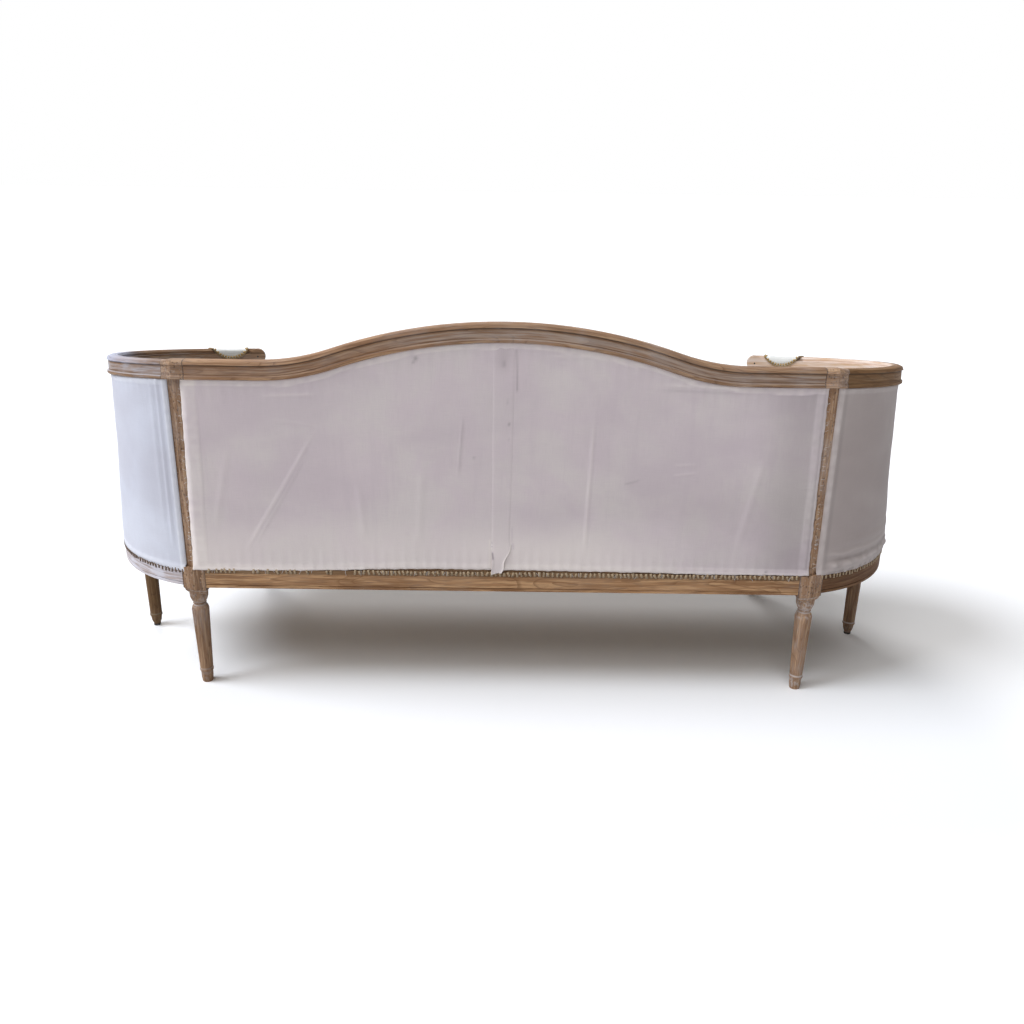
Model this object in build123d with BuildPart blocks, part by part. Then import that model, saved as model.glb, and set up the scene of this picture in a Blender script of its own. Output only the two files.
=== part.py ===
"""Tub sofa: a show-wood frame with rounded ends, a camelback crest and six turned legs.

The back faces +Y, the open front faces -Y and +X is the sitter's left. Millimetres, floor at Z = 0.
"""
import os
from math import asin, atan, cos, degrees, pi, radians, sin, sqrt, tan

from build123d import *

os.makedirs("parts", exist_ok=True)

# Plan: a straight back and front joined by half-round ends
end_center = 683.0  # X of the middle of each rounded end, at the seat
end_radius = 345.0  # outer face of the seat rails, from that middle
end_lean = 23.0  # how far the rounded ends lean inwards from seat to top rail

# Top rail: crest, corner rails and arms, one moulding all round
top_rail_top = 832.0  # at the rear posts
crest_top = 925.0  # at the middle of the back
crest_shoulder = 560.0  # X where the level rail begins to rise
crest_hollow_radius = 500.0  # concave sweep beside the hump
rail_height = 44.0
rail_depth = 46.0
rail_show = 31.0  # width of the show-wood top, outside the rebate for the inside cover
cover_ledge = 11.0  # depth of that rebate
rail_bead = 10.0  # rounded upper edge
rail_fascia = 3.5  # sunk band between the upper edge and the lower bead
lower_bead = 8.0
top_overhang = 5.0  # top rail beyond the seat rail's face
ring_tilt = 7.5  # degrees, the top of the rounded ends falls to the front

# Arms
arm_joint = 105.0  # degrees round the end from the back, where the arm meets the corner rail
arm_end = 167.3  # degrees, centre of the rounded arm end
pad_middle = 153.4  # degrees, middle of the arm pad
pad_length = 104.0
pad_dip = 27.0  # depth of the curved seat cut for the pad
pad_bulge = 2.5
pad_crown = 1.5  # top of the pad above the arm
scroll_eye = 3.0  # radius of the eye in the arm end
scroll_eye_depth = 2.0

# Seat frame
seat_rail_bottom = 273.0
seat_rail_height = 80.0
seat_rail_depth = 45.0
cloth_line = 323.0  # lower edge of the covers, where the rails are rebated
cloth_rebate = 3.0
edge_bead = 6.0  # bead along the lower edge of the rails
edge_groove = 2.0

# Rear posts, end posts and legs
leg_x = 755.0  # rear and front legs
leg_inset = 32.0  # leg axis behind the outer face
block_width = 62.0
block_depth = 62.0
block_drop = 20.0  # block below the rail
block_step = 13.0  # height of the drawn-in lower end of the block
block_ledge = 1.5  # set back where it begins
block_taper = 8.0  # set back at the turned leg
post_inset = 9.0  # post narrower than the block, all round
head_width = 60.0
end_post_width = 36.0
end_post_depth = 28.0
end_post_inset = 28.0  # behind the seat rail's face

# Turned leg, radii and heights
shaft_top_radius = 21.0
slim_shaft_radius = 18.5  # end and front legs
shaft_bottom_radius = 16.0
shaft_top = 205.0
shaft_bottom = 40.0
neck_radius = 14.0
neck_height = 218.0
ring_radius = 16.5
ring_height = 5.0
cup_radius = 23.0
collar_radius = 17.0
collar_height = 8.0
rear_toe_radius = 13.0
toe_radius = 8.5
glide_radius = 9.5
glide_height = 5.0
leg_flat_count = 18

# Arm supports
support_width = 40.0
support_depth = 40.0
support_waist = 11.0  # hollow in the inner edge

# Joints
tenon_thickness = 12.0
tenon_height = 24.0
tenon_length = 22.0
seat_tenon_height = 36.0
fit = 0.2  # clearance round a tenon
bottom_room = 1.0  # clearance at the end of a tenon
peg_radius = 3.0

# Hidden rails
stay_bottom = 428.0
stay_height = 45.0
stay_thickness = 24.0
stay_runs = 6
front_stay_angle = 175.0
stile_width = 50.0
cross_rail_x = 240.0
cross_rail_width = 28.0
cross_rail_height = 60.0

# Webbing, hessian and covers
strap_width = 50.0
strap_thickness = 1.5
strap_pitch = 104.0
cross_straps = 14
long_straps = 4
long_strap_pitch = 130.0
back_straps = 12
back_strap_pitch = 112.0
hessian_thickness = 1.2
hessian_margin = 15.0  # inside the rails' inner faces
cloth_thickness = 1.8
back_cloth_inset_top = 17.0  # short of the middle of the rear post
back_cloth_inset_bottom = 2.0
end_cloth_start = 14.7  # degrees from the back
end_cloth_end = 160.0
cloth_runs = 32

# Stuffed parts
pad_back_gap = 0.8
back_pad_end_gap = 11.0  # short of the rear posts' heads
pad_edge = 10.0  # thickness at the upper edge
pad_lap = 20.0  # inside back carried up over the crest's inner face
end_pad_crown = 54.0  # thickness at the fullest height
end_pad_foot = 40.0  # thickness at the seat
back_pad_crown = 66.0
back_pad_foot = 53.0
pad_full = 0.4  # share of the height where the pads are fullest
pad_runs = 7
pad_bottom = 402.0
pad_top_gap = 1.5
end_pad_start = 8.0  # degrees from the back
end_pad_end = 166.0
seat_side = 246.0  # seat edge from the middle of the rounded end
seat_support_gap = 19.0  # beside the arm supports
seat_front_inset = 4.0
seat_swell = 440.0  # top of the crowned seat
seat_gap = 0.4
seat_runs = 14

# Worked out from the sizes above
tilt = radians(ring_tilt)
top_face = end_radius + top_overhang
top_center = end_center - end_lean
ring = top_face / cos(tilt)
ring_origin = Vector(top_center, 0, top_rail_top - top_face * tan(tilt))
ring_up = Vector(0, -sin(tilt), cos(tilt))
seat_rail_top = seat_rail_bottom + seat_rail_height
seat_inner = end_radius - seat_rail_depth
leg_y = end_radius - leg_inset
block_inner = leg_x - block_width / 2
block_outer = leg_x + block_width / 2
block_angle = degrees(asin((block_outer - end_center) / end_radius))
block_bottom = seat_rail_bottom - block_drop
head_inner = leg_x - head_width / 2
back_pad_half = head_inner - back_pad_end_gap
seat_front_half = leg_x - support_width / 2 - seat_support_gap
back_cloth_half_top = leg_x - back_cloth_inset_top
back_cloth_half_bottom = leg_x - back_cloth_inset_bottom
head_angle = degrees(asin((leg_x + head_width / 2 - top_center) / ring))
end_post_x = end_center + end_radius - leg_inset
post_middle = end_radius - end_post_inset - end_post_depth / 2
end_block_angle = degrees(asin(block_width / 2 / end_radius))
end_post_angle = degrees(asin(end_post_width / 2 / post_middle))
inner_face = top_face - rail_depth
hump_angle = 2 * atan((crest_top - top_rail_top) / crest_shoulder)
hump_radius = crest_shoulder / sin(hump_angle) - crest_hollow_radius
under_hump = hump_radius - rail_height
stile_top = crest_top - hump_radius + sqrt(under_hump**2 - (stile_width / 2) ** 2)
stay_inner = post_middle - stay_thickness / 2 + 4
stay_y = inner_face + stay_thickness / 2
stay_middle = stay_bottom + stay_height / 2
tenon_y = end_radius - seat_rail_depth / 2


def ring_plane(angle):
    """Plane across the tilted ring: local x points outwards, local y is square to the ring."""
    a = radians(angle)
    outward = Vector(sin(a), cos(a) * cos(tilt), cos(a) * sin(tilt))
    return Plane(origin=ring_origin, x_dir=outward, z_dir=outward.cross(ring_up))


def end_plane(angle):
    """Upright plane through the middle of the rounded end: local x outwards, local y up."""
    a = radians(angle)
    outward = Vector(sin(a), cos(a), 0)
    return Plane(origin=(end_center, 0, 0), x_dir=outward, z_dir=outward.cross(Vector(0, 0, 1)))


def under_ring(gap):
    """Plane along the underside of the tilted ring, lowered by a gap."""
    return Plane(origin=ring_origin - ring_up * (rail_height + gap), x_dir=(1, 0, 0), z_dir=ring_up)


def under_ring_height(y, gap):
    """Height of that plane at a given depth."""
    return top_rail_top - (top_face - y) * tan(tilt) - (rail_height + gap) / cos(tilt)


def end_point(radius, angle):
    """Point in plan at a radius and angle round the rounded end."""
    a = radians(angle)
    return (end_center + radius * sin(a), radius * cos(a))


def rail_section(face, top):
    """Moulded top rail: rounded upper edge, sunk fascia and lower bead, rebated inside for the cover."""
    back = face - rail_depth
    inner = face - rail_show
    ledge = top - cover_ledge
    bottom = top - rail_height
    shoulder = top - rail_bead
    bead_top = bottom + lower_bead
    sunk = face - rail_fascia
    half = rail_bead / 2
    Polyline(
        (inner + half, top),
        (face - rail_bead, top),
        (face - rail_bead * (1 - cos(radians(45))), shoulder + rail_bead * sin(radians(45))),
        (face, shoulder),
        (sunk, shoulder - 2),
        (sunk, bead_top + 1.5),
        (face, bead_top - 1),
        (face, bottom + 2),
        (face - 2, bottom),
        (back, bottom),
        (back, ledge),
        (inner, ledge),
        (inner, top - half),
        (inner + half, top),
    )


def seat_rail_section(face, inner):
    """Seat rail: bead along the lower edge and a rebate for the cover above the cloth line."""
    low = seat_rail_bottom
    Polyline(
        (inner, low),
        (face, low),
        (face, low + edge_bead),
        (face - edge_groove, low + edge_bead + 1.5),
        (face, low + edge_bead + 3),
        (face, cloth_line),
        (face - cloth_rebate, cloth_line),
        (face - cloth_rebate, seat_rail_top),
        (inner, seat_rail_top),
        (inner, low),
    )


def sector(inner, outer, start, stop):
    """Part of a flat ring in plan, round the rounded end."""
    middle = (start + stop) / 2
    Line(end_point(inner, start), end_point(outer, start))
    ThreePointArc(end_point(outer, start), end_point(outer, middle), end_point(outer, stop))
    Line(end_point(outer, stop), end_point(inner, stop))
    ThreePointArc(end_point(inner, stop), end_point(inner, middle), end_point(inner, start))


def stay_plan(start, stop):
    """Curved stay in plan, sawn in short straight runs."""
    turn = (stop - start) / stay_runs
    angles = [start + turn * run for run in range(stay_runs + 1)]
    inside = [end_point(stay_inner, angle) for angle in angles]
    outside = [end_point(stay_inner + stay_thickness, angle) for angle in reversed(angles)]
    Polyline(*inside, *outside, close=True)


def crest_line(drop, half):
    """Line a given drop below the top of the crest, from one side of the back to the other."""
    height = top_rail_top - drop
    hollow = crest_hollow_radius + drop
    angle = degrees(hump_angle)
    level = Line((-half, height), (-crest_shoulder, height))
    rise = JernArc(level @ 1, level % 1, hollow, angle)
    hump = JernArc(rise @ 1, rise % 1, hump_radius - drop, -2 * angle)
    fall = JernArc(hump @ 1, hump % 1, hollow, angle)
    Line(fall @ 1, (half, height))


def crest_height(x):
    """Height of the top of the crest at a place along the back."""
    if abs(x) < hump_radius * sin(hump_angle):
        return crest_top - hump_radius + sqrt(hump_radius**2 - x**2)
    if abs(x) < crest_shoulder:
        run = crest_shoulder - abs(x)
        return top_rail_top + crest_hollow_radius - sqrt(crest_hollow_radius**2 - run**2)
    return top_rail_top


def block_outline(side):
    """Leg block in plan: one face in line with the straight rail, one turned to the curved rail."""
    outer = end_point(end_radius, block_angle)
    inner = end_point(end_radius - block_depth, block_angle)
    Polyline(
        (block_inner, side * end_radius),
        (leg_x, side * end_radius),
        (outer[0], side * outer[1]),
        (inner[0], side * inner[1]),
        (block_inner, side * (end_radius - block_depth)),
        close=True,
    )


def leg_block(outline, height):
    """Leg block up to a height, drawn in at its lower end; the outline draws its plan."""
    step = block_bottom + block_step
    with BuildSketch(Plane.XY.offset(step)) as upper:
        with BuildLine():
            outline()
        make_face()
    extrude(upper.sketch, amount=height - step)
    ends = []
    rounding = block_bottom + 0.4 * block_step
    half_taper = block_ledge + 0.35 * (block_taper - block_ledge)
    for level, inset in ((block_bottom, block_taper), (rounding, half_taper), (step, block_ledge)):
        with BuildSketch(Plane.XY.offset(level)) as lower:
            with BuildLine():
                outline()
            make_face()
            offset(amount=-inset, kind=Kind.INTERSECTION, mode=Mode.REPLACE)
        ends.append(lower.sketch)
    loft(ends, ruled=True)


def leg_profile(toe):
    """Radius and height of each turn of the leg below its block, from the floor up."""
    foot = shaft_bottom - 2
    collar_low = foot - collar_height
    neck_top = neck_height + ring_height
    cup_height = block_bottom - neck_top
    shaft = slim_shaft_radius if toe < rear_toe_radius else shaft_top_radius
    floor = glide_height if toe < rear_toe_radius else 0
    return (
        (toe, floor),
        (toe + 0.72 * (collar_radius - 2 - toe), floor + 0.45 * (collar_low - floor)),
        (collar_radius - 2, collar_low),
        (collar_radius, collar_low + 2),
        (collar_radius, foot - 2),
        (shaft_bottom_radius, shaft_bottom),
        (shaft, shaft_top),
        (shaft - 2, shaft_top + 0.5 * (neck_height - shaft_top)),
        (neck_radius, neck_height),
        (ring_radius, (neck_height + neck_top) / 2),
        (neck_radius, neck_top),
        (0.80 * cup_radius, neck_top + 0.16 * cup_height),
        (0.95 * cup_radius, neck_top + 0.48 * cup_height),
        (cup_radius, block_bottom),
        (cup_radius, block_bottom + 6),
    )


def turned_leg(x, y, toe):
    """Add one turned leg under the block at (x, y), closed from fine flats."""
    rings = []
    for radius, height in leg_profile(toe):
        turns = [2 * pi * flat / leg_flat_count for flat in range(leg_flat_count)]
        rings.append([Vector(x + radius * cos(a), y + radius * sin(a), height) for a in turns])
    flats = [Face(Wire.make_polygon(rings[0])), Face(Wire.make_polygon(rings[-1]))]
    for low, high in zip(rings, rings[1:]):
        for flat in range(leg_flat_count):
            after = (flat + 1) % leg_flat_count
            corners = (low[flat], low[after], high[after], high[flat])
            flats.append(Face(Wire.make_polygon(corners)))
    add(Solid(Shell(flats)))


def mortise(plane, width, height, depth):
    """Cut a mortise a clearance larger than its tenon, straight down from the plane."""
    with BuildSketch(plane) as mouth:
        Rectangle(width + 2 * fit, height + 2 * fit)
    extrude(mouth.sketch, amount=depth + bottom_room, mode=Mode.SUBTRACT)


def tenon(plane, width, height, length):
    """Add a tenon standing on the plane."""
    with BuildSketch(plane) as foot:
        Rectangle(width, height)
    extrude(foot.sketch, amount=length)


# Where the frame's tenons stand, shared by tenon and mortise
def facing(origin, x_dir, z_dir):
    return Plane(origin=origin, x_dir=x_dir, z_dir=z_dir)


rail_middle = top_rail_top - rail_height / 2
seat_middle = (seat_rail_bottom + cloth_line) / 2
crest_seat = facing((head_inner, top_face - rail_depth / 2, rail_middle), (0, 1, 0), (1, 0, 0))
corner_mid = ring_plane(head_angle)
corner_seat = facing(
    corner_mid.from_local_coords((ring - rail_depth / 2, -rail_height / 2)),
    corner_mid.x_dir,
    -corner_mid.z_dir,
)
joint_mid = ring_plane(arm_joint)
arm_seat = facing(
    joint_mid.from_local_coords((ring - rail_depth / 2, -rail_height / 2)),
    joint_mid.x_dir,
    -joint_mid.z_dir,
)
end_post_mid_x = end_center + post_middle
end_post_seat = facing(
    (end_post_mid_x, 0, under_ring_height(0, 0) - 4), (1, 0, 0), (0, 0, 1)
)
support_y = -leg_y
support_seat = facing((leg_x, support_y, seat_rail_top), (1, 0, 0), (0, 0, -1))
support_head = facing(
    (leg_x, support_y, under_ring_height(support_y, 0) - 4), (1, 0, 0), (0, 0, 1)
)


stile_foot = facing((0, stay_y, seat_rail_top), (1, 0, 0), (0, 0, -1))
stay_end = facing((block_inner + post_inset, stay_y, stay_middle), (0, 1, 0), (1, 0, 0))
stay_start = facing((stile_width / 2, stay_y, stay_middle), (0, 1, 0), (-1, 0, 0))
turned_face = end_plane(block_angle)
stay_center = stay_inner + stay_thickness / 2
end_stay_seat = facing(
    turned_face.from_local_coords((stay_center, stay_middle)) - turned_face.z_dir * post_inset,
    turned_face.x_dir,
    -turned_face.z_dir,
)


def rail_end(side):
    """Where a straight seat rail meets the block, looking into the block."""
    return facing((block_inner, side * tenon_y, seat_middle), (0, 1, 0), (1, 0, 0))


def curved_end(angle, turn):
    """Where a curved seat rail meets a block, looking along the rail."""
    plane = end_plane(angle)
    return facing(
        plane.from_local_coords((tenon_y, seat_middle)), plane.x_dir, plane.z_dir * turn
    )


def peg_axis(side):
    return facing((block_inner + tenon_length / 2, side * end_radius, seat_middle), (1, 0, 0), (0, -side, 0))


def peg_hole(side):
    """Drill for the peg that locks a straight seat rail's tenon."""
    with BuildSketch(peg_axis(side)) as hole:
        RegularPolygon(peg_radius + fit / 2, 8)
    extrude(hole.sketch, amount=seat_rail_depth, mode=Mode.SUBTRACT)


# Crest rail: the moulding swept over the hump of the back
with BuildPart() as crest_rail:
    with BuildLine(Plane.XZ.offset(-top_face)) as crest_path:
        crest_line(0, head_inner)
    with BuildSketch(Plane(origin=(-head_inner, 0, 0), x_dir=(0, 1, 0), z_dir=(1, 0, 0))):
        with BuildLine():
            rail_section(top_face, top_rail_top)
        make_face()
    sweep(path=crest_path.wires()[0])
    tenon(crest_seat, tenon_thickness, tenon_height, tenon_length)
    mirror(about=Plane.YZ)
    mortise(
        facing((0, stay_y, stile_top), (1, 0, 0), (0, 0, 1)),
        stile_width * 0.6,
        tenon_thickness,
        tenon_length * 0.8,
    )
crest_rail.part.label = "crest_rail"
export_step(crest_rail.part, "parts/crest_rail.step")

# Corner rail: from the rear post round the end to the arm, in the tilted ring
with BuildPart() as corner_rail_left:
    with BuildSketch(ring_plane(head_angle)):
        with BuildLine():
            rail_section(ring, 0)
        make_face()
    revolve(axis=Axis(ring_origin, -ring_up), revolution_arc=arm_joint - head_angle)
    tenon(corner_seat, tenon_thickness, tenon_height, tenon_length * 0.8)
    mortise(arm_seat, tenon_thickness, tenon_height, tenon_length)
    mortise(end_post_seat, tenon_thickness, tenon_height, tenon_length + 4)
corner_rail_left.part.label = "corner_rail_left"
export_step(corner_rail_left.part, "parts/corner_rail_left.step")

# Arm: the ring carried on to a rounded end, with a curved seat cut for its pad
pad_radius = ((pad_length / 2) ** 2 + pad_dip**2) / (2 * pad_dip)
pad_plane = ring_plane(pad_middle)
pad_center = pad_plane.from_local_coords((ring - 2 * rail_depth, pad_radius - pad_dip))
end_cut = ring_plane(arm_end)
scroll_radius = rail_height / 2
scroll_inner = end_cut.from_local_coords((ring - rail_depth, -scroll_radius))
scroll_outer = end_cut.from_local_coords((ring, -scroll_radius))
with BuildPart() as arm_left:
    with BuildSketch(ring_plane(arm_joint)):
        with BuildLine():
            rail_section(ring, 0)
        make_face()
    revolve(axis=Axis(ring_origin, -ring_up), revolution_arc=arm_end - arm_joint)
    with BuildSketch(facing(scroll_inner, end_cut.z_dir, end_cut.x_dir)):
        Circle(scroll_radius)
    extrude(amount=rail_depth)
    with BuildSketch(facing(scroll_outer, end_cut.z_dir, -end_cut.x_dir)):
        RegularPolygon(scroll_eye, 8)
    extrude(amount=scroll_eye_depth, mode=Mode.SUBTRACT)
    with BuildSketch(facing(scroll_inner, end_cut.z_dir, end_cut.x_dir)):
        RegularPolygon(scroll_eye, 8)
    extrude(amount=scroll_eye_depth, mode=Mode.SUBTRACT)
    with BuildSketch(facing(pad_center, pad_plane.z_dir, pad_plane.x_dir)):
        Circle(pad_radius)
    extrude(amount=3 * rail_depth, mode=Mode.SUBTRACT)
    tenon(arm_seat, tenon_thickness, tenon_height, tenon_length)
    mortise(support_head, tenon_height, tenon_thickness, tenon_length * 0.5 + 4)
arm_left.part.label = "arm_left"
export_step(arm_left.part, "parts/arm_left.step")

# Arm pad: fills the curved seat and stands a little proud of the arm
with BuildPart() as arm_pad_left:
    with BuildSketch(ring_plane(pad_middle - 25)):
        with BuildLine():
            Polyline(
                (ring - rail_depth - pad_bulge, -pad_dip),
                (ring + pad_bulge, -pad_dip),
                (ring + pad_bulge, -2),
                (ring - rail_depth / 4, pad_crown),
                (ring - rail_depth * 3 / 4, pad_crown),
                (ring - rail_depth - pad_bulge, -2),
                close=True,
            )
        make_face()
    revolve(axis=Axis(ring_origin, -ring_up), revolution_arc=50)
    with BuildSketch(facing(pad_center, pad_plane.z_dir, pad_plane.x_dir)):
        Circle(pad_radius - seat_gap)
    extrude(amount=3 * rail_depth, mode=Mode.INTERSECT)
arm_pad_left.part.label = "arm_pad_left"
export_step(arm_pad_left.part, "parts/arm_pad_left.step")

# Rear post: moulded head, post, leg block and turned leg in one piece
with BuildPart() as rear_post_left:
    with BuildSketch(facing((head_inner, 0, 0), (0, 1, 0), (1, 0, 0))):
        with BuildLine():
            rail_section(top_face, top_rail_top)
        make_face()
    with BuildSketch(facing((leg_x, 0, 0), (0, 1, 0), (1, 0, 0))):
        with BuildLine():
            rail_section(top_face, top_rail_top)
        make_face()
    with BuildSketch(ring_plane(head_angle)):
        with BuildLine():
            rail_section(ring, 0)
        make_face()
    loft(ruled=True)
    with BuildSketch(Plane.XY.offset(cloth_line)):
        with BuildLine():
            block_outline(1)
        make_face()
        offset(amount=-post_inset, kind=Kind.INTERSECTION, mode=Mode.REPLACE)
    extrude(amount=top_rail_top - rail_height / 2 - cloth_line)
    leg_block(lambda: block_outline(1), cloth_line)
    turned_leg(leg_x, leg_y, rear_toe_radius)
    mortise(crest_seat, tenon_thickness, tenon_height, tenon_length)
    mortise(corner_seat, tenon_thickness, tenon_height, tenon_length * 0.8)
    mortise(rail_end(1), tenon_thickness, seat_tenon_height, tenon_length)
    mortise(curved_end(block_angle, -1), tenon_thickness, seat_tenon_height, tenon_length * 0.8)
    mortise(stay_end, tenon_thickness, stay_height * 0.6, tenon_length * 0.6)
    mortise(end_stay_seat, tenon_thickness, stay_height * 0.6, tenon_length * 0.6)
    peg_hole(1)
rear_post_left.part.label = "rear_post_left"
export_step(rear_post_left.part, "parts/rear_post_left.step")

# End post: block, post and turned leg under the middle of the rounded end
with BuildPart() as end_post_left:
    leg_block(
        lambda: sector(
            end_radius - block_depth, end_radius, 90 - end_block_angle, 90 + end_block_angle
        ),
        cloth_line,
    )
    with BuildSketch(Plane.XY.offset(cloth_line)):
        with BuildLine():
            sector(
                end_radius - block_depth,
                end_radius - cloth_rebate,
                90 - end_block_angle,
                90 + end_block_angle,
            )
        make_face()
    extrude(amount=seat_rail_top - cloth_line)
    with BuildSketch(Plane.XY.offset(seat_rail_top)):
        with BuildLine():
            sector(
                post_middle - end_post_depth / 2,
                post_middle + end_post_depth / 2,
                90 - end_post_angle,
                90 + end_post_angle,
            )
        make_face()
    extrude(amount=top_rail_top - seat_rail_top)
    split(bisect_by=under_ring(0), keep=Keep.BOTTOM)
    tenon(end_post_seat, tenon_thickness, tenon_height, tenon_length + 4)
    turned_leg(end_post_x, 0, toe_radius)
    for angle, turn in ((90 - end_block_angle, 1), (90 + end_block_angle, -1)):
        mortise(curved_end(angle, turn), tenon_thickness, seat_tenon_height, tenon_length * 0.8)
end_post_left.part.label = "end_post_left"
export_step(end_post_left.part, "parts/end_post_left.step")

# Front leg: leg block and turned leg, with the arm support standing on it
with BuildPart() as front_leg_left:
    leg_block(lambda: block_outline(-1), seat_rail_top)
    turned_leg(leg_x, -leg_y, toe_radius)
    mortise(rail_end(-1), tenon_thickness, seat_tenon_height, tenon_length)
    mortise(
        curved_end(180 - block_angle, 1), tenon_thickness, seat_tenon_height, tenon_length * 0.8
    )
    mortise(support_seat, tenon_height, tenon_thickness, tenon_length)
    peg_hole(-1)
front_leg_left.part.label = "front_leg_left"
export_step(front_leg_left.part, "parts/front_leg_left.step")

# Arm support: hollowed on the side of the opening
support_low = seat_rail_top
support_high = under_ring_height(support_y, 0)
with BuildPart() as arm_support_left:
    with BuildSketch(Plane.XZ.offset(-support_y - support_depth / 2)):
        with BuildLine():
            inner_edge = leg_x - support_width / 2
            outer_edge = leg_x + support_width / 2
            ThreePointArc(
                (inner_edge, support_low),
                (inner_edge + support_waist, (support_low + support_high) / 2),
                (inner_edge, support_high + support_depth * tan(tilt)),
            )
            Polyline(
                (inner_edge, support_high + support_depth * tan(tilt)),
                (outer_edge, support_high + support_depth * tan(tilt)),
                (outer_edge, support_low),
                (inner_edge, support_low),
            )
        make_face()
    extrude(amount=support_depth)
    split(bisect_by=under_ring(0), keep=Keep.BOTTOM)
    tenon(support_seat, tenon_height, tenon_thickness, tenon_length)
    tenon(support_head, tenon_height, tenon_thickness, tenon_length * 0.5 + 4)
arm_support_left.part.label = "arm_support_left"
export_step(arm_support_left.part, "parts/arm_support_left.step")

# Straight seat rails between the leg blocks
with BuildPart() as back_seat_rail:
    with BuildSketch(facing((0, 0, 0), (0, 1, 0), (1, 0, 0))):
        with BuildLine():
            seat_rail_section(end_radius, seat_inner)
        make_face()
    extrude(amount=block_inner)
    tenon(rail_end(1), tenon_thickness, seat_tenon_height, tenon_length)
    peg_hole(1)
    mortise(
        facing((cross_rail_x, seat_inner, seat_middle), (1, 0, 0), (0, 1, 0)),
        tenon_thickness,
        seat_tenon_height,
        tenon_length,
    )
    mirror(about=Plane.YZ)
    mortise(stile_foot, stile_width * 0.6, tenon_thickness, tenon_length * 0.8)
back_seat_rail.part.label = "back_seat_rail"
export_step(back_seat_rail.part, "parts/back_seat_rail.step")

with BuildPart() as front_seat_rail:
    with BuildSketch(facing((0, 0, 0), (0, -1, 0), (-1, 0, 0))):
        with BuildLine():
            seat_rail_section(end_radius, seat_inner)
        make_face()
    extrude(amount=-block_inner)
    tenon(rail_end(-1), tenon_thickness, seat_tenon_height, tenon_length)
    peg_hole(-1)
    mortise(
        facing((cross_rail_x, -seat_inner, seat_middle), (1, 0, 0), (0, -1, 0)),
        tenon_thickness,
        seat_tenon_height,
        tenon_length,
    )
    mirror(about=Plane.YZ)
front_seat_rail.part.label = "front_seat_rail"
export_step(front_seat_rail.part, "parts/front_seat_rail.step")

# Curved seat rails: from the rear leg to the end leg, and on to the front leg
with BuildPart() as rear_side_rail_left:
    with BuildSketch(end_plane(block_angle)):
        with BuildLine():
            seat_rail_section(end_radius, seat_inner)
        make_face()
    revolve(
        axis=Axis((end_center, 0, 0), (0, 0, -1)),
        revolution_arc=90 - end_block_angle - block_angle,
    )
    for angle, turn in ((block_angle, -1), (90 - end_block_angle, 1)):
        tenon(curved_end(angle, turn), tenon_thickness, seat_tenon_height, tenon_length * 0.8)
rear_side_rail_left.part.label = "rear_side_rail_left"
export_step(rear_side_rail_left.part, "parts/rear_side_rail_left.step")

with BuildPart() as front_side_rail_left:
    mirror(rear_side_rail_left.part, about=Plane.XZ)
front_side_rail_left.part.label = "front_side_rail_left"
export_step(front_side_rail_left.part, "parts/front_side_rail_left.step")

# Hidden back frame: a middle stile and the stay rails that the upholstery is tacked to
with BuildPart() as back_stile:
    with BuildSketch(Plane.XY.offset(seat_rail_top)):
        with Locations((0, stay_y)):
            Rectangle(stile_width, stay_thickness)
    extrude(amount=stile_top - seat_rail_top)
    tenon(stile_foot, stile_width * 0.6, tenon_thickness, tenon_length * 0.8)
    tenon(
        facing((0, stay_y, stile_top), (1, 0, 0), (0, 0, 1)),
        stile_width * 0.6,
        tenon_thickness,
        tenon_length * 0.8,
    )
    mortise(stay_start, tenon_thickness, stay_height * 0.6, tenon_length * 0.6)
    mirror(about=Plane.YZ, mode=Mode.INTERSECT)
back_stile.part.label = "back_stile"
export_step(back_stile.part, "parts/back_stile.step")

with BuildPart() as back_stay_left:
    with BuildSketch(facing((stile_width / 2, stay_y, stay_middle), (0, 1, 0), (1, 0, 0))):
        Rectangle(stay_thickness, stay_height)
    extrude(amount=block_inner + post_inset - stile_width / 2)
    tenon(stay_end, tenon_thickness, stay_height * 0.6, tenon_length * 0.6)
    tenon(stay_start, tenon_thickness, stay_height * 0.6, tenon_length * 0.6)
back_stay_left.part.label = "back_stay_left"
export_step(back_stay_left.part, "parts/back_stay_left.step")

# Curved stay rails round the ends
with BuildPart() as rear_end_stay_left:
    with BuildSketch(Plane.XY.offset(stay_bottom)):
        with BuildLine():
            stay_plan(block_angle, 90 - end_post_angle)
        make_face()
    extrude(amount=stay_height)
    with BuildSketch(
        facing(
            turned_face.from_local_coords((stay_center, stay_middle)),
            turned_face.x_dir,
            -turned_face.z_dir,
        )
    ):
        Rectangle(stay_thickness, stay_height)
    extrude(amount=post_inset)
    tenon(end_stay_seat, tenon_thickness, stay_height * 0.6, tenon_length * 0.6)
rear_end_stay_left.part.label = "rear_end_stay_left"
export_step(rear_end_stay_left.part, "parts/rear_end_stay_left.step")

with BuildPart() as front_end_stay_left:
    with BuildSketch(Plane.XY.offset(stay_bottom)):
        with BuildLine():
            stay_plan(90 + end_post_angle, front_stay_angle)
        make_face()
    extrude(amount=stay_height)
    split(bisect_by=Plane.YZ.offset(leg_x + support_width / 2), keep=Keep.TOP)
front_end_stay_left.part.label = "front_end_stay_left"
export_step(front_end_stay_left.part, "parts/front_end_stay_left.step")

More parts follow.
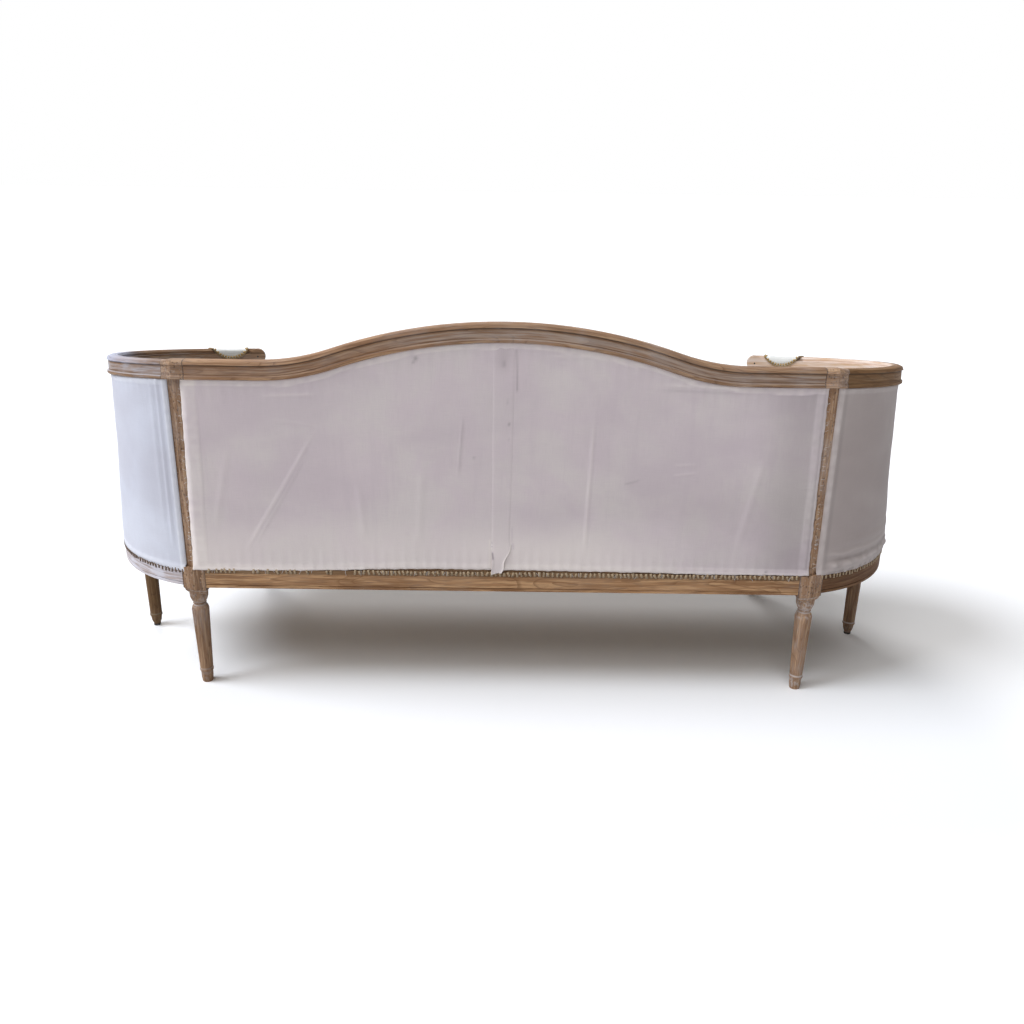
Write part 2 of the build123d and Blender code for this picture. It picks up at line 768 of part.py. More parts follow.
# Cross rails that tie the front and back seat rails
with BuildPart() as cross_rail_left:
    with BuildSketch(facing((cross_rail_x, 0, seat_middle), (1, 0, 0), (0, 1, 0))):
        Rectangle(cross_rail_width, cross_rail_height)
    extrude(amount=seat_inner, both=True)
    with BuildSketch(facing((cross_rail_x, 0, seat_middle), (1, 0, 0), (0, 1, 0))):
        Rectangle(tenon_thickness, seat_tenon_height)
    extrude(amount=seat_inner + tenon_length, both=True)
cross_rail_left.part.label = "cross_rail_left"
export_step(cross_rail_left.part, "parts/cross_rail_left.step")

# Pegs that lock the straight seat rails' tenons
with BuildPart() as joint_pegs:
    for side in (1, -1):
        with BuildSketch(peg_axis(side)) as peg:
            RegularPolygon(peg_radius, 8)
        extrude(peg.sketch, amount=seat_rail_depth - bottom_room)
    mirror(about=Plane.YZ)
joint_pegs.part.label = "joint_pegs"
export_step(joint_pegs.part, "parts/joint_pegs.step")

# Glides under the end and front legs
with BuildPart() as foot_glides:
    for x, y in ((end_post_x, 0), (leg_x, -leg_y)):
        with BuildSketch(Plane(origin=(x, y, 0))) as glide:
            RegularPolygon(glide_radius, leg_flat_count)
        extrude(glide.sketch, amount=glide_height)
    mirror(about=Plane.YZ)
foot_glides.part.label = "foot_glides"
export_step(foot_glides.part, "parts/foot_glides.step")

# Seat webbing: straps from back to front, and longer straps laid across them
with BuildPart() as seat_webbing_cross:
    with BuildSketch(Plane.XY.offset(seat_rail_top)):
        with GridLocations(strap_pitch, 1, cross_straps, 1):
            Rectangle(strap_width, 2 * (seat_inner + 0.6 * seat_rail_depth))
    extrude(amount=strap_thickness)
seat_webbing_cross.part.label = "seat_webbing_cross"
export_step(seat_webbing_cross.part, "parts/seat_webbing_cross.step")

with BuildPart() as seat_webbing_long:
    for row in range(long_straps):
        strap_y = (row - (long_straps - 1) / 2) * long_strap_pitch
        reach = end_center + sqrt((seat_inner + 0.4 * seat_rail_depth) ** 2 - strap_y**2)
        with BuildSketch(Plane.XY.offset(seat_rail_top + strap_thickness)) as strap:
            with Locations((0, strap_y)):
                Rectangle(2 * reach, strap_width)
        extrude(strap.sketch, amount=strap_thickness)
seat_webbing_long.part.label = "seat_webbing_long"
export_step(seat_webbing_long.part, "parts/seat_webbing_long.step")

# Seat hessian over the webbing
hessian_bottom = seat_rail_top + 2 * strap_thickness
hessian_radius = seat_inner - hessian_margin
with BuildPart() as seat_hessian:
    with BuildSketch(Plane.XY.offset(hessian_bottom)):
        SlotCenterToCenter(2 * end_center, 2 * hessian_radius)
    extrude(amount=hessian_thickness)
seat_hessian.part.label = "seat_hessian"
export_step(seat_hessian.part, "parts/seat_hessian.step")

# Back webbing: upright straps from the stay rails to the crest
with BuildPart() as back_webbing:
    for column in range(back_straps):
        strap_x = (column - (back_straps - 1) / 2) * back_strap_pitch
        strap_top = crest_height(strap_x) - 0.6 * rail_height
        with BuildSketch(Plane.XZ.offset(-inner_face)) as strap:
            with Locations((strap_x, (stay_bottom + strap_top) / 2)):
                Rectangle(strap_width, strap_top - stay_bottom)
        extrude(strap.sketch, amount=strap_thickness)
back_webbing.part.label = "back_webbing"
export_step(back_webbing.part, "parts/back_webbing.step")

# Back hessian over the webbing, cut to the crest
back_hessian_face = inner_face - strap_thickness
with BuildPart() as back_hessian:
    with BuildSketch(Plane.XZ.offset(-back_hessian_face)):
        with BuildLine():
            crest_line(0.7 * rail_height, back_pad_half)
            Polyline(
                (back_pad_half, top_rail_top - 0.7 * rail_height),
                (back_pad_half, stay_bottom),
                (-back_pad_half, stay_bottom),
                (-back_pad_half, top_rail_top - 0.7 * rail_height),
            )
        make_face()
    extrude(amount=hessian_thickness)
back_hessian.part.label = "back_hessian"
export_step(back_hessian.part, "parts/back_hessian.step")


def pad_section(face, low, high, crown, foot):
    """Stuffed wall in section: flat against the frame, full below the middle, thin at the top."""
    front = []
    for step in range(pad_runs + 1):
        share = step / pad_runs
        if share < pad_full:
            bow = foot + (crown - foot) * sqrt(1 - (1 - share / pad_full) ** 2)
        else:
            bow = pad_edge + (crown - pad_edge) * sqrt(1 - ((share - pad_full) / (1 - pad_full)) ** 2)
        front.append((face - bow, low + share * (high - low)))
    Polyline((face, high), (face, low), *front, close=True)


# Inside back: one crowned pad that follows the crest
back_pad_face = back_hessian_face - hessian_thickness - seat_gap
back_pad_stations = 17
with BuildPart() as inside_back_pad:
    for station in range(back_pad_stations):
        pad_x = back_pad_half * (2 * station / (back_pad_stations - 1) - 1)
        pad_high = crest_height(pad_x) - rail_height + pad_lap
        with BuildSketch(facing((pad_x, 0, 0), (0, 1, 0), (1, 0, 0))):
            with BuildLine():
                pad_section(back_pad_face, pad_bottom, pad_high, back_pad_crown, back_pad_foot)
            make_face()
    loft(ruled=True)
inside_back_pad.part.label = "inside_back_pad"
export_step(inside_back_pad.part, "parts/inside_back_pad.step")

# Inside end: the same section carried round the end, under the falling rail
end_pad_face = post_middle - end_post_depth / 2 - pad_back_gap
end_pad_stations = 16
with BuildPart() as inside_end_pad_left:
    for station in range(end_pad_stations):
        pad_angle = end_pad_start + (end_pad_end - end_pad_start) * station / (end_pad_stations - 1)
        pad_high = under_ring_height(end_pad_face * cos(radians(pad_angle)), pad_top_gap)
        with BuildSketch(end_plane(pad_angle)):
            with BuildLine():
                pad_section(end_pad_face, pad_bottom, pad_high, end_pad_crown, end_pad_foot)
            make_face()
    loft(ruled=True)
inside_end_pad_left.part.label = "inside_end_pad_left"
export_step(inside_end_pad_left.part, "parts/inside_end_pad_left.step")


def seat_outline(inset):
    """Half of the seat in plan: straight front and back, a round end, stepped in at the support."""
    side = seat_side - inset
    half = seat_front_half - inset
    front = -(end_radius - seat_front_inset - inset)
    corner = 180 - degrees(asin((half - end_center) / side))
    bend = [end_point(side, corner * (1 - run / seat_runs)) for run in range(seat_runs + 1)]
    Polyline((0, front), (half, front), *bend, (0, side), close=True)


# Seat: tight crowned stuffing over the hessian, drawn in at its foot and rounded to the top
seat_bottom = hessian_bottom + hessian_thickness + seat_gap
seat_depth = seat_swell - seat_bottom
seat_levels = ((0, 5), (0.35, 0), (0.7, 5), (0.92, 24), (1, 60))
with BuildPart() as seat_pad:
    for level, inset in seat_levels:
        with BuildSketch(Plane.XY.offset(seat_bottom + level * seat_depth)):
            with BuildLine():
                seat_outline(inset)
            make_face()
    loft(ruled=True)
    mirror(about=Plane.YZ)
seat_pad.part.label = "seat_pad"
export_step(seat_pad.part, "parts/seat_pad.step")

# Lower border of the seat cover, in the front rail's rebate
with BuildPart() as seat_front_band:
    with BuildSketch(Plane.XZ.offset(end_radius - cloth_rebate)):
        with Locations((0, (cloth_line + seat_bottom) / 2)):
            Rectangle(2 * seat_front_half, seat_bottom - cloth_line)
    extrude(amount=cloth_thickness)
seat_front_band.part.label = "seat_front_band"
export_step(seat_front_band.part, "parts/seat_front_band.step")

# Outer back cloth: from the seat rail's rebate to the underside of the crest
cloth_face = end_radius - cloth_rebate
with BuildPart() as outer_back_cloth:
    with BuildSketch(Plane.XZ.offset(-cloth_face)):
        with BuildLine():
            crest_line(rail_height, back_cloth_half_top)
            Polyline(
                (back_cloth_half_top, top_rail_top - rail_height),
                (back_cloth_half_bottom, cloth_line),
                (-back_cloth_half_bottom, cloth_line),
                (-back_cloth_half_top, top_rail_top - rail_height),
            )
        make_face()
    extrude(amount=-cloth_thickness)
outer_back_cloth.part.label = "outer_back_cloth"
export_step(outer_back_cloth.part, "parts/outer_back_cloth.step")


def end_wall(height, lean):
    """Plan of the end cloth at a height: fixed at the rear post, leaning in towards the middle."""
    turn = (end_cloth_end - end_cloth_start) / cloth_runs
    angles = [end_cloth_start + turn * run for run in range(cloth_runs + 1)]
    clear = cloth_face / cos(radians(turn / 2))
    inside = []
    outside = []
    for angle in angles:
        slack = lean * sin(radians(90 * min(1, (angle - end_cloth_start) / (90 - end_cloth_start))))
        for side, radius in ((inside, clear), (outside, clear + cloth_thickness)):
            x, y = end_point(radius, angle)
            side.append((x - slack, y))
    with BuildSketch(Plane.XY.offset(height)) as plan:
        with BuildLine():
            Polyline(*inside, *reversed(outside), close=True)
        make_face()
    return plan.sketch


# Outer end cloth: upright on the rail, then leaning in, cut off under the falling rail
wall_lean = end_lean * (top_rail_top - seat_rail_top) / (under_ring_height(0, 0) - seat_rail_top)
with BuildPart() as outer_end_cloth_left:
    loft([end_wall(cloth_line, 0), end_wall(seat_rail_top, 0)], ruled=True)
    loft([end_wall(seat_rail_top, 0), end_wall(top_rail_top, wall_lean)], ruled=True)
    split(bisect_by=under_ring(0), keep=Keep.BOTTOM)
outer_end_cloth_left.part.label = "outer_end_cloth_left"
export_step(outer_end_cloth_left.part, "parts/outer_end_cloth_left.step")

# The right-hand half mirrors the left
left_hand = {
    "corner_rail": corner_rail_left,
    "arm": arm_left,
    "arm_pad": arm_pad_left,
    "rear_post": rear_post_left,
    "end_post": end_post_left,
    "front_leg": front_leg_left,
    "arm_support": arm_support_left,
    "rear_side_rail": rear_side_rail_left,
    "front_side_rail": front_side_rail_left,
    "back_stay": back_stay_left,
    "rear_end_stay": rear_end_stay_left,
    "front_end_stay": front_end_stay_left,
    "cross_rail": cross_rail_left,
    "inside_end_pad": inside_end_pad_left,
    "outer_end_cloth": outer_end_cloth_left,
}
for name, left in left_hand.items():
    with BuildPart() as right:
        mirror(left.part, about=Plane.YZ)
    right.part.label = name + "_right"
    export_step(right.part, "parts/" + name + "_right.step")
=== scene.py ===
import math
import random

import bpy
import numpy as np
from mathutils import geometry, Matrix, Vector, noise


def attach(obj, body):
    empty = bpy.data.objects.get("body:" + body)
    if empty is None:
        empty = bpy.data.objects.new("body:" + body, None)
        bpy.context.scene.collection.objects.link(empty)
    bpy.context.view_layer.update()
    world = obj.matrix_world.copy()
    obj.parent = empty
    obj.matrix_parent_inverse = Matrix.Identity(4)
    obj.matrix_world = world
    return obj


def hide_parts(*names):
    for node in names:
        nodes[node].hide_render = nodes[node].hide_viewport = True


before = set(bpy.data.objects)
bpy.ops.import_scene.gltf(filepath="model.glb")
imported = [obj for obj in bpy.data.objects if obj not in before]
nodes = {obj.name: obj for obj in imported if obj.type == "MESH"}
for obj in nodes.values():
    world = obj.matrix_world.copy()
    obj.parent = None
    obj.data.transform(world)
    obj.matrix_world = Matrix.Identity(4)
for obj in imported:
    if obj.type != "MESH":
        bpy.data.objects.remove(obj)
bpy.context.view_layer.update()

scene = bpy.context.scene
HANDS = {"left": 1.0, "right": -1.0}

# Sizes repeated from the solids, in metres and degrees
END_X = 0.683
END_R = 0.345
LEAN = 0.023
RAIL_TOP = 0.832
CREST_TOP = 0.925
SHOULDER = 0.560
HOLLOW = 0.500
RAIL_H = 0.044
RAIL_D = 0.046
SHOW = 0.031
ARM_END = 167.3
TOP_FACE = 0.350
TILT = math.radians(7.5)
TOP_X = END_X - LEAN
RING = TOP_FACE / math.cos(TILT)
RING_Z = RAIL_TOP - TOP_FACE * math.tan(TILT)
RING_UP = Vector((0.0, -math.sin(TILT), math.cos(TILT)))
SEAT_LOW = 0.273
SEAT_TOP = 0.353
CLOTH_LINE = 0.323
CLOTH_FACE = 0.342
FOOT_FACE = 0.3464
LEG_X = 0.755
POST_HEAD = 0.7881
POST_TURN = 14.7
HUMP_ANGLE = 2 * math.atan((CREST_TOP - RAIL_TOP) / SHOULDER)
HUMP_R = SHOULDER / math.sin(HUMP_ANGLE) - HOLLOW

# Places of the inside upholstery
INSIDE_HALF = 0.716
BACK_PAD_FACE = 0.3009
END_PAD_FACE = 0.2882
PAD_FOOT = 0.402
SEAT_FOOT = 0.3576
SEAT_CROWN = 0.440
ROLL_END = 104.2
ROLL_POST = 20.9
ROLL_CORNER = 0.712

# Offset of the grain coordinate along the rings
RING_GRAIN = 3.0


def crest_height(x):
    """Top of the crest at a place along the back."""
    x = np.abs(np.asarray(x, float))
    hump = CREST_TOP - HUMP_R + np.sqrt(np.maximum(HUMP_R ** 2 - x ** 2, 0.0))
    run = np.clip(SHOULDER - x, 0.0, HOLLOW)
    hollow = RAIL_TOP + HOLLOW - np.sqrt(HOLLOW ** 2 - run ** 2)
    return np.where(x < HUMP_R * math.sin(HUMP_ANGLE), hump, np.where(x < SHOULDER, hollow, RAIL_TOP))


def crest_slope(x):
    return (crest_height(np.asarray(x) + 0.001) - crest_height(np.asarray(x) - 0.001)) / 0.002


def under_ring(y, gap=0.0):
    """Underside of the tilted ring at a depth."""
    return RAIL_TOP - (TOP_FACE - np.asarray(y)) * math.tan(TILT) - (RAIL_H + gap) / math.cos(TILT)


def ring_out(angle):
    """Direction straight out of the left-hand ring, at degrees from the back."""
    a = math.radians(angle)
    return Vector((math.sin(a), math.cos(a) * math.cos(TILT), math.cos(a) * math.sin(TILT)))


def ring_point(angle, out, up):
    """Point on the left-hand ring: degrees from the back, metres out from the face and up from the top."""
    return Vector((TOP_X, 0.0, RING_Z)) + ring_out(angle) * (RING + out) + RING_UP * up


def ring_grain(angle):
    return RING_GRAIN + RING * math.radians(angle)


def wobble(x, y, z, scale):
    """Smooth noise between about -1 and 1."""
    return noise.noise(Vector((x * scale, y * scale, z * scale)))


# Node helpers
class Tree:
    """The node tree of a material or world, with short calls for the nodes that repeat."""

    def __init__(self, owner):
        owner.use_nodes = True
        self.owner = owner
        self.tree = owner.node_tree
        self.tree.nodes.clear()

    def put(self, socket, value):
        if isinstance(value, bpy.types.NodeSocket):
            self.tree.links.new(value, socket)
        else:
            socket.default_value = (*value, 1.0) if socket.type == "RGBA" else value

    def node(self, kind, inputs=None, **values):
        """Add a node with its settings and inputs, and return its outputs."""
        made = self.tree.nodes.new("ShaderNode" + kind)
        for key, value in values.items():
            setattr(made, key, value)
        for key, value in (inputs or {}).items():
            self.put(made.inputs[key], value)
        return made.outputs

    def attribute(self, name, output):
        return self.node("Attribute", attribute_name=name)[output]

    def position(self):
        return self.node("TexCoord")["Object"]

    def axes(self, vector):
        parts = self.node("SeparateXYZ", {0: vector})
        return parts["X"], parts["Y"], parts["Z"]

    def math(self, operation, a, b=0.0):
        return self.node("Math", {0: a, 1: b}, operation=operation)[0]

    def times(self, first, *others):
        for other in others:
            first = self.math("MULTIPLY", first, other)
        return first

    def plus(self, value, *factors):
        """A value with the product of some factors added to it."""
        return self.math("ADD", value, self.times(*factors))

    def most(self, a, b):
        return self.math("MAXIMUM", a, b)

    def noise(self, vector, scale, detail=3.0, rough=0.55, distortion=0.0):
        """Noise at one scale, or at three scales for the three axes."""
        if isinstance(scale, tuple):
            vector = self.node("VectorMath", {0: vector, 1: scale}, operation="MULTIPLY")[0]
            scale = 1.0
        values = {"Vector": vector, "Scale": scale, "Detail": detail}
        values.update({"Roughness": rough, "Distortion": distortion})
        return self.node("TexNoise", values)["Fac"]

    def span(self, value, low, high, to_low=0.0, to_high=1.0):
        values = {"Value": value, "From Min": low, "From Max": high, "To Min": to_low, "To Max": to_high}
        return self.node("MapRange", values, interpolation_type="SMOOTHSTEP")["Result"]

    def line(self, value, middle, half):
        """One where the value is near the middle, fading to nothing at half away."""
        off = self.math("ABSOLUTE", self.math("SUBTRACT", value, middle))
        return self.span(off, 0.25 * half, half, 1.0, 0.0)

    def mix(self, share, a, b, blend="MIX"):
        return self.node("Mix", {0: share, 6: a, 7: b}, data_type="RGBA", blend_type=blend)[2]

    def over(self, color, shade, *shares):
        """A colour with a shade laid over it, by the product of some shares."""
        return self.mix(self.times(*shares), color, shade)

    def seen(self):
        """One for the rays that show the background."""
        path = self.node("LightPath")
        return self.most(self.most(path["Is Camera Ray"], path["Is Glossy Ray"]), path["Is Transmission Ray"])

    def surface(self, shader, kind="OutputMaterial"):
        self.node(kind, {"Surface": shader})
        return self.owner

    def finish(self, color, rough, height, depth, strength, **fixed):
        bump = self.node("Bump", {"Strength": strength, "Distance": depth, "Height": height})
        values = {key.replace("_", " "): value for key, value in fixed.items()}
        values.update({"Base Color": color, "Roughness": rough, "Normal": bump["Normal"]})
        return self.surface(self.node("BsdfPrincipled", values)["BSDF"])


def new_tree(name):
    return Tree(bpy.data.materials.new(name))


def dimmed(color, share):
    return tuple(share * part for part in color)


# Materials
BROWN = (0.400, 0.232, 0.132)
DARK = (0.205, 0.108, 0.056)
PALE = (0.560, 0.360, 0.218)
# Chalk of the left-hand rails: partly real lime, partly painted bluish light from the left
LIME = (0.600, 0.525, 0.490)
LILAC_LIME_AND_LIGHT = (0.690, 0.675, 0.735)
HIGHLIGHT_BLUSH = (0.800, 0.700, 0.650)
COOL_HIGHLIGHT = (0.500, 0.530, 0.665)
PORE = (0.120, 0.060, 0.030)
GROOVE_SHADE = (0.075, 0.042, 0.026)
LOW_GROOVE_SHADE = (0.090, 0.052, 0.034)
TACK_HOLE = (0.040, 0.026, 0.018)
JOINT = (0.045, 0.028, 0.020)
TACK_ROW = (0.092, 0.062, 0.036)
BEAD_SHADE_LINE = (0.100, 0.060, 0.036)
STAIN_AND_SHADE = (0.070, 0.038, 0.018)

# Limed lines round the turned legs: height, half width and strength
LEG_LINES = (
    (0.0385, 0.0030, 0.85),
    (0.2165, 0.0022, 0.80),
    (0.2240, 0.0022, 0.80),
    (0.2620, 0.0024, 0.45),
)


def wood(name, lime=0.35, moulded=False, turned=False, pitted=0.0, tacks_and_bead_shade=0.0, dark=0.0, chalk=LIME,
         mottled=1.2, lime_and_light_coat=0.0, inner=0.0, cool_highlight=0.0, warm=0.0, tint=None):
    """Weathered oak with its grain along each piece, limed in the pores and hollows, with painted shade in its
    grooves and painted light on some copies.
    """
    t = new_tree(name)
    grain = t.attribute("grain", "Vector")
    along, out, up = t.axes(grain)
    place = t.position()
    x, _, z = t.axes(place)
    broad = t.noise(grain, (2.2, 24.0, 24.0), 3.0, 0.6, 0.5)
    fibre = t.noise(grain, (8.0, 170.0, 170.0), 3.0, 0.6, 0.3)
    pores = t.noise(grain, (26.0, 560.0, 560.0), 2.0, 0.5)
    patch = t.noise(grain, 7.0, 3.0, 0.6)
    figure = t.noise(grain, (2.4, 17.0, 17.0), 1.5, 0.5, 0.4)
    rings = t.math("FRACT", t.times(figure, 15.0))
    color = t.over(DARK, BROWN, t.span(broad, 0.30, 0.66))
    color = t.over(color, PALE, t.span(fibre, 0.44, 0.64), 0.85)
    color = t.over(color, DARK, t.span(rings, 0.72, 0.97), 0.62)
    color = t.over(color, PORE, t.span(pores, 0.54, 0.68), 0.55)
    wash = t.times(t.span(pores, 0.50, 0.70), t.span(patch, 0.36, 0.62), lime)
    wash = t.plus(wash, t.span(patch, 0.46, 0.72), 0.55 * lime)
    height = t.plus(t.times(fibre, 0.6), pores, 0.4)
    # A chalk layer over the fibres, only on the left-hand side rails: partly real lime, partly painted light
    if lime_and_light_coat:
        wash = t.plus(wash, t.span(fibre, 0.25, 0.60), lime_and_light_coat)
    if moulded:
        sunk = t.times(t.span(up, -0.0150, -0.0185), t.span(up, -0.0335, -0.0305))
        wash = t.plus(wash, sunk, t.span(fibre, 0.30, 0.60), min(0.45, 1.2 * lime))
        wash = t.plus(wash, t.line(up, -0.0356, 0.0020), min(0.60, lime))
        # Painted shade: dark lines in the grooves of the moulding
        color = t.over(color, GROOVE_SHADE, t.line(up, -0.0120, 0.0030), 0.80)
        color = t.over(color, LOW_GROOVE_SHADE, t.line(up, -0.0332, 0.0016), 0.45)
    if turned:
        for middle, half, share in LEG_LINES:
            wash = t.plus(wash, t.line(z, middle, half), t.span(patch, 0.25, 0.50), share)
        mottle = t.times(t.span(z, 0.190, 0.215), t.span(z, 0.262, 0.245))
        mottle = t.most(mottle, t.span(z, 0.040, 0.030))
        blots = t.span(t.noise(place, 95.0, 3.0, 0.65), 0.46, 0.62)
        wash = t.plus(wash, mottle, blots, mottled * lime)
    if pitted:
        above = t.span(z, 0.235, 0.255)
        stretched = t.node("VectorMath", {0: place, 1: (1.0, 1.0, 0.7)}, operation="MULTIPLY")[0]
        spots = t.node("TexVoronoi", {"Vector": stretched, "Scale": 140.0})["Distance"]
        picked = t.span(t.noise(place, 80.0, 1.0), 0.42, 0.50)
        hole = t.times(t.span(spots, 0.36, 0.20), picked, above)
        color = t.over(color, TACK_HOLE, hole, 0.70 * pitted)
        chips = t.span(t.noise(place, 200.0, 2.0), 0.57, 0.66)
        wash = t.plus(wash, chips, t.plus(0.2, above, 0.8), 0.30 * pitted)
        wide = t.math("ABSOLUTE", x)
        joints = t.most(t.line(wide, 0.7262, 0.0022), t.line(wide, 0.7838, 0.0022))
        cheeks = t.most(t.line(wide, 0.7250, 0.0024), t.line(wide, 0.7850, 0.0024))
        joints = t.times(joints, t.span(z, 0.770, 0.780))
        cheeks = t.times(cheeks, t.span(z, 0.330, 0.320), above)
        color = t.over(color, JOINT, t.most(joints, cheeks), 0.80)
        height = t.plus(height, hole, -2.0)
    if tacks_and_bead_shade:
        torn = t.plus(z, t.math("SUBTRACT", t.noise(place, 60.0, 3.0), 0.5), 0.006)
        row = t.span(torn, CLOTH_LINE - 0.0135, CLOTH_LINE - 0.0105)
        color = t.over(color, TACK_ROW, row, 0.62)
        wash = t.times(wash, t.plus(1.0, row, -0.5))
        # Painted shade: a dark line in the groove over the bead at the foot of the rail
        color = t.over(color, BEAD_SHADE_LINE, t.line(z, SEAT_LOW + 0.0075, 0.0020), tacks_and_bead_shade)
    # Painted sunlight: the crest warmer and less limed towards its left-hand end
    if warm:
        sunny = t.times(t.span(along, 0.02, 0.36), warm)
        wash = t.times(wash, t.plus(1.0, sunny, -1.0))
        color = t.mix(sunny, color, t.mix(1.0, color, (1.08, 0.96, 0.84), "MULTIPLY"))
    color = t.mix(t.math("MINIMUM", wash, 0.88), color, chalk)
    # Darkened towards a dark brown: a deeper tone of the wood, and on the right-hand top rail and side rails
    # painted shade as well
    if dark:
        color = t.mix(dark, color, STAIN_AND_SHADE)
    # A colour multiplied in: on the right-hand top rail and side rails it is painted shade, darker and browner
    if tint:
        color = t.mix(1.0, color, tint, "MULTIPLY")
    # Painted highlight: the far inner face of the right-hand ring paler and pinker, as if sunlit
    if inner:
        painted_highlight = t.over(PALE, HIGHLIGHT_BLUSH, t.span(fibre, 0.30, 0.62), 0.75)
        far = t.span(along, ring_grain(58), ring_grain(82))
        color = t.over(color, painted_highlight, far, t.span(out, -0.014, -0.026), inner)
    # Painted highlight: a paler, bluish band along the inner edge of the left-hand ring
    if cool_highlight:
        begun = t.span(along, ring_grain(16), ring_grain(68))
        ended = t.span(along, ring_grain(103), ring_grain(84))
        edge = t.times(t.span(up, -0.0135, -0.0110), t.span(out, -0.040, -0.028))
        color = t.over(color, COOL_HIGHLIGHT, begun, ended, edge, t.span(fibre, 0.22, 0.50), cool_highlight)
    rough = t.span(fibre, 0.3, 0.8, 0.80, 0.62)
    return t.finish(color, rough, height, 0.0008, 0.55, Specular_IOR_Level=0.3)


def cloth(name, base, cream, shade, pale=(0.90, 0.89, 0.87), weave=900.0):
    """Plain woven cloth: slubs both ways, soft blotches and a tone attribute for doubled edges, dirt marks, and
    painted highlights and painted shade.
    """
    t = new_tree(name)
    where = t.attribute("flat", "Vector")
    tone = t.attribute("tone", "Fac")
    across = t.noise(where, (26.0, weave, weave), 2.0, 0.6)
    along = t.noise(where, (weave, 26.0, weave), 2.0, 0.6)
    thread = t.times(t.plus(across, along), 0.5)
    blotch = t.noise(where, 6.5, 4.0, 0.62, 0.5)
    drift = t.noise(where, (2.8, 4.2, 1.0), 3.0, 0.55, 0.3)
    streak = t.noise(where, (34.0, 2.6, 1.0), 3.0, 0.6)
    color = t.over(base, cream, t.span(blotch, 0.34, 0.66), 0.75)
    color = t.over(color, shade, t.span(drift, 0.42, 0.66), 0.70)
    color = t.over(color, shade, t.span(streak, 0.52, 0.74), 0.30)
    color = t.over(color, dimmed(base, 0.72), t.span(thread, 0.42, 0.62), 0.16)
    # Positive tone pales the cloth: doubled edges, and painted highlights on creases and painted light low on
    # the back
    color = t.over(color, pale, t.most(tone, 0.0))
    # Negative tone darkens it: real dirt marks, and painted shade in creases, slits, under edges and at the
    # back's right end
    soil_and_shade = dimmed((shade[0], shade[1] * 0.92, shade[2] * 0.85), 0.14)
    color = t.over(color, soil_and_shade, t.most(t.times(tone, -1.0), 0.0))
    sheen = {"Sheen_Weight": 0.12, "Sheen_Roughness": 0.5}
    return t.finish(color, 0.90, thread, 0.0006, 0.35, Specular_IOR_Level=0.2, **sheen)


def plain(name, color, rough, metal=0.0, speck=0.3):
    """A small fitting's finish, with wear in blotches."""
    t = new_tree(name)
    worn = t.noise(t.position(), 160.0, 3.0, 0.6)
    color = t.over(color, dimmed(color, 0.45), t.span(worn, 0.45, 0.70), speck)
    return t.finish(color, rough, worn, 0.0003, 0.3, Metallic=metal)


def woven(name, color, pitch, gap):
    """Open weave for the webbing and hessian."""
    t = new_tree(name)
    where = t.position()
    waves = []
    for part in t.axes(where)[:2]:
        waves.append(t.math("ABSOLUTE", t.math("SINE", t.times(part, 2 * math.pi / pitch))))
    basket = t.times(t.plus(*waves), 0.5)
    slub = t.noise(where, 260.0, 3.0, 0.6)
    tone = t.over(color, dimmed(color, 0.40), t.span(basket, 0.55, 0.15), gap)
    tone = t.over(tone, dimmed(color, 1.3), t.span(slub, 0.45, 0.7), 0.35)
    return t.finish(tone, 0.92, t.plus(basket, slub), 0.0008, 0.5, Specular_IOR_Level=0.15)


# Lit and shaded copies of the oak: the left-hand top rail and side rails paler and bluer, partly real lime and
# partly painted light from the left; the right-hand top rail, arm and side rails darker and browner, painted
# shade, with a painted highlight on the right-hand ring's far inner face
TOP_WOOD = wood("oak_top", lime=0.34, moulded=True, dark=0.24, warm=0.55)
TOP_WOOD_LEFT = wood("oak_top_left", lime=0.62, moulded=True, dark=0.42, chalk=LILAC_LIME_AND_LIGHT, cool_highlight=0.85)
TOP_WOOD_RIGHT = wood("oak_top_right", lime=0.10, moulded=True, dark=0.50, inner=0.9, tint=(0.80, 0.70, 0.50))
ARM_WOOD_LEFT = wood("oak_arm_left", lime=0.30, moulded=True, dark=0.20)
POST_WOOD_LEFT = wood("oak_post_left", lime=0.32, turned=True, pitted=0.8, dark=0.22, mottled=0.9)
POST_WOOD_RIGHT = wood("oak_post_right", lime=0.40, turned=True, pitted=0.8, dark=0.06, mottled=1.5)
LEG_WOOD = wood("oak_leg", lime=0.26, turned=True, dark=0.20)
END_WOOD_LEFT = wood("oak_end_left", lime=0.12, turned=True, dark=0.60, tint=(0.72, 0.66, 0.48))
END_WOOD_RIGHT = wood("oak_end_right", lime=0.24, turned=True, dark=0.30)
RAIL_WOOD = wood("oak_rail", lime=0.12, tacks_and_bead_shade=0.2, tint=(1.10, 1.02, 0.86))
LEFT_RAIL_WOOD = wood("oak_rail_left", lime=1.60, tacks_and_bead_shade=0.7, chalk=LILAC_LIME_AND_LIGHT, lime_and_light_coat=0.75)
RIGHT_RAIL_WOOD = wood("oak_rail_right", lime=0.08, tacks_and_bead_shade=0.5, dark=0.60, tint=(0.72, 0.58, 0.42))
INNER_WOOD = wood("beech_inner", lime=0.10)
BACK_CLOTH = cloth(
    "calico_back", (0.715, 0.615, 0.628), (0.745, 0.675, 0.645), (0.640, 0.545, 0.570), (0.90, 0.81, 0.76))
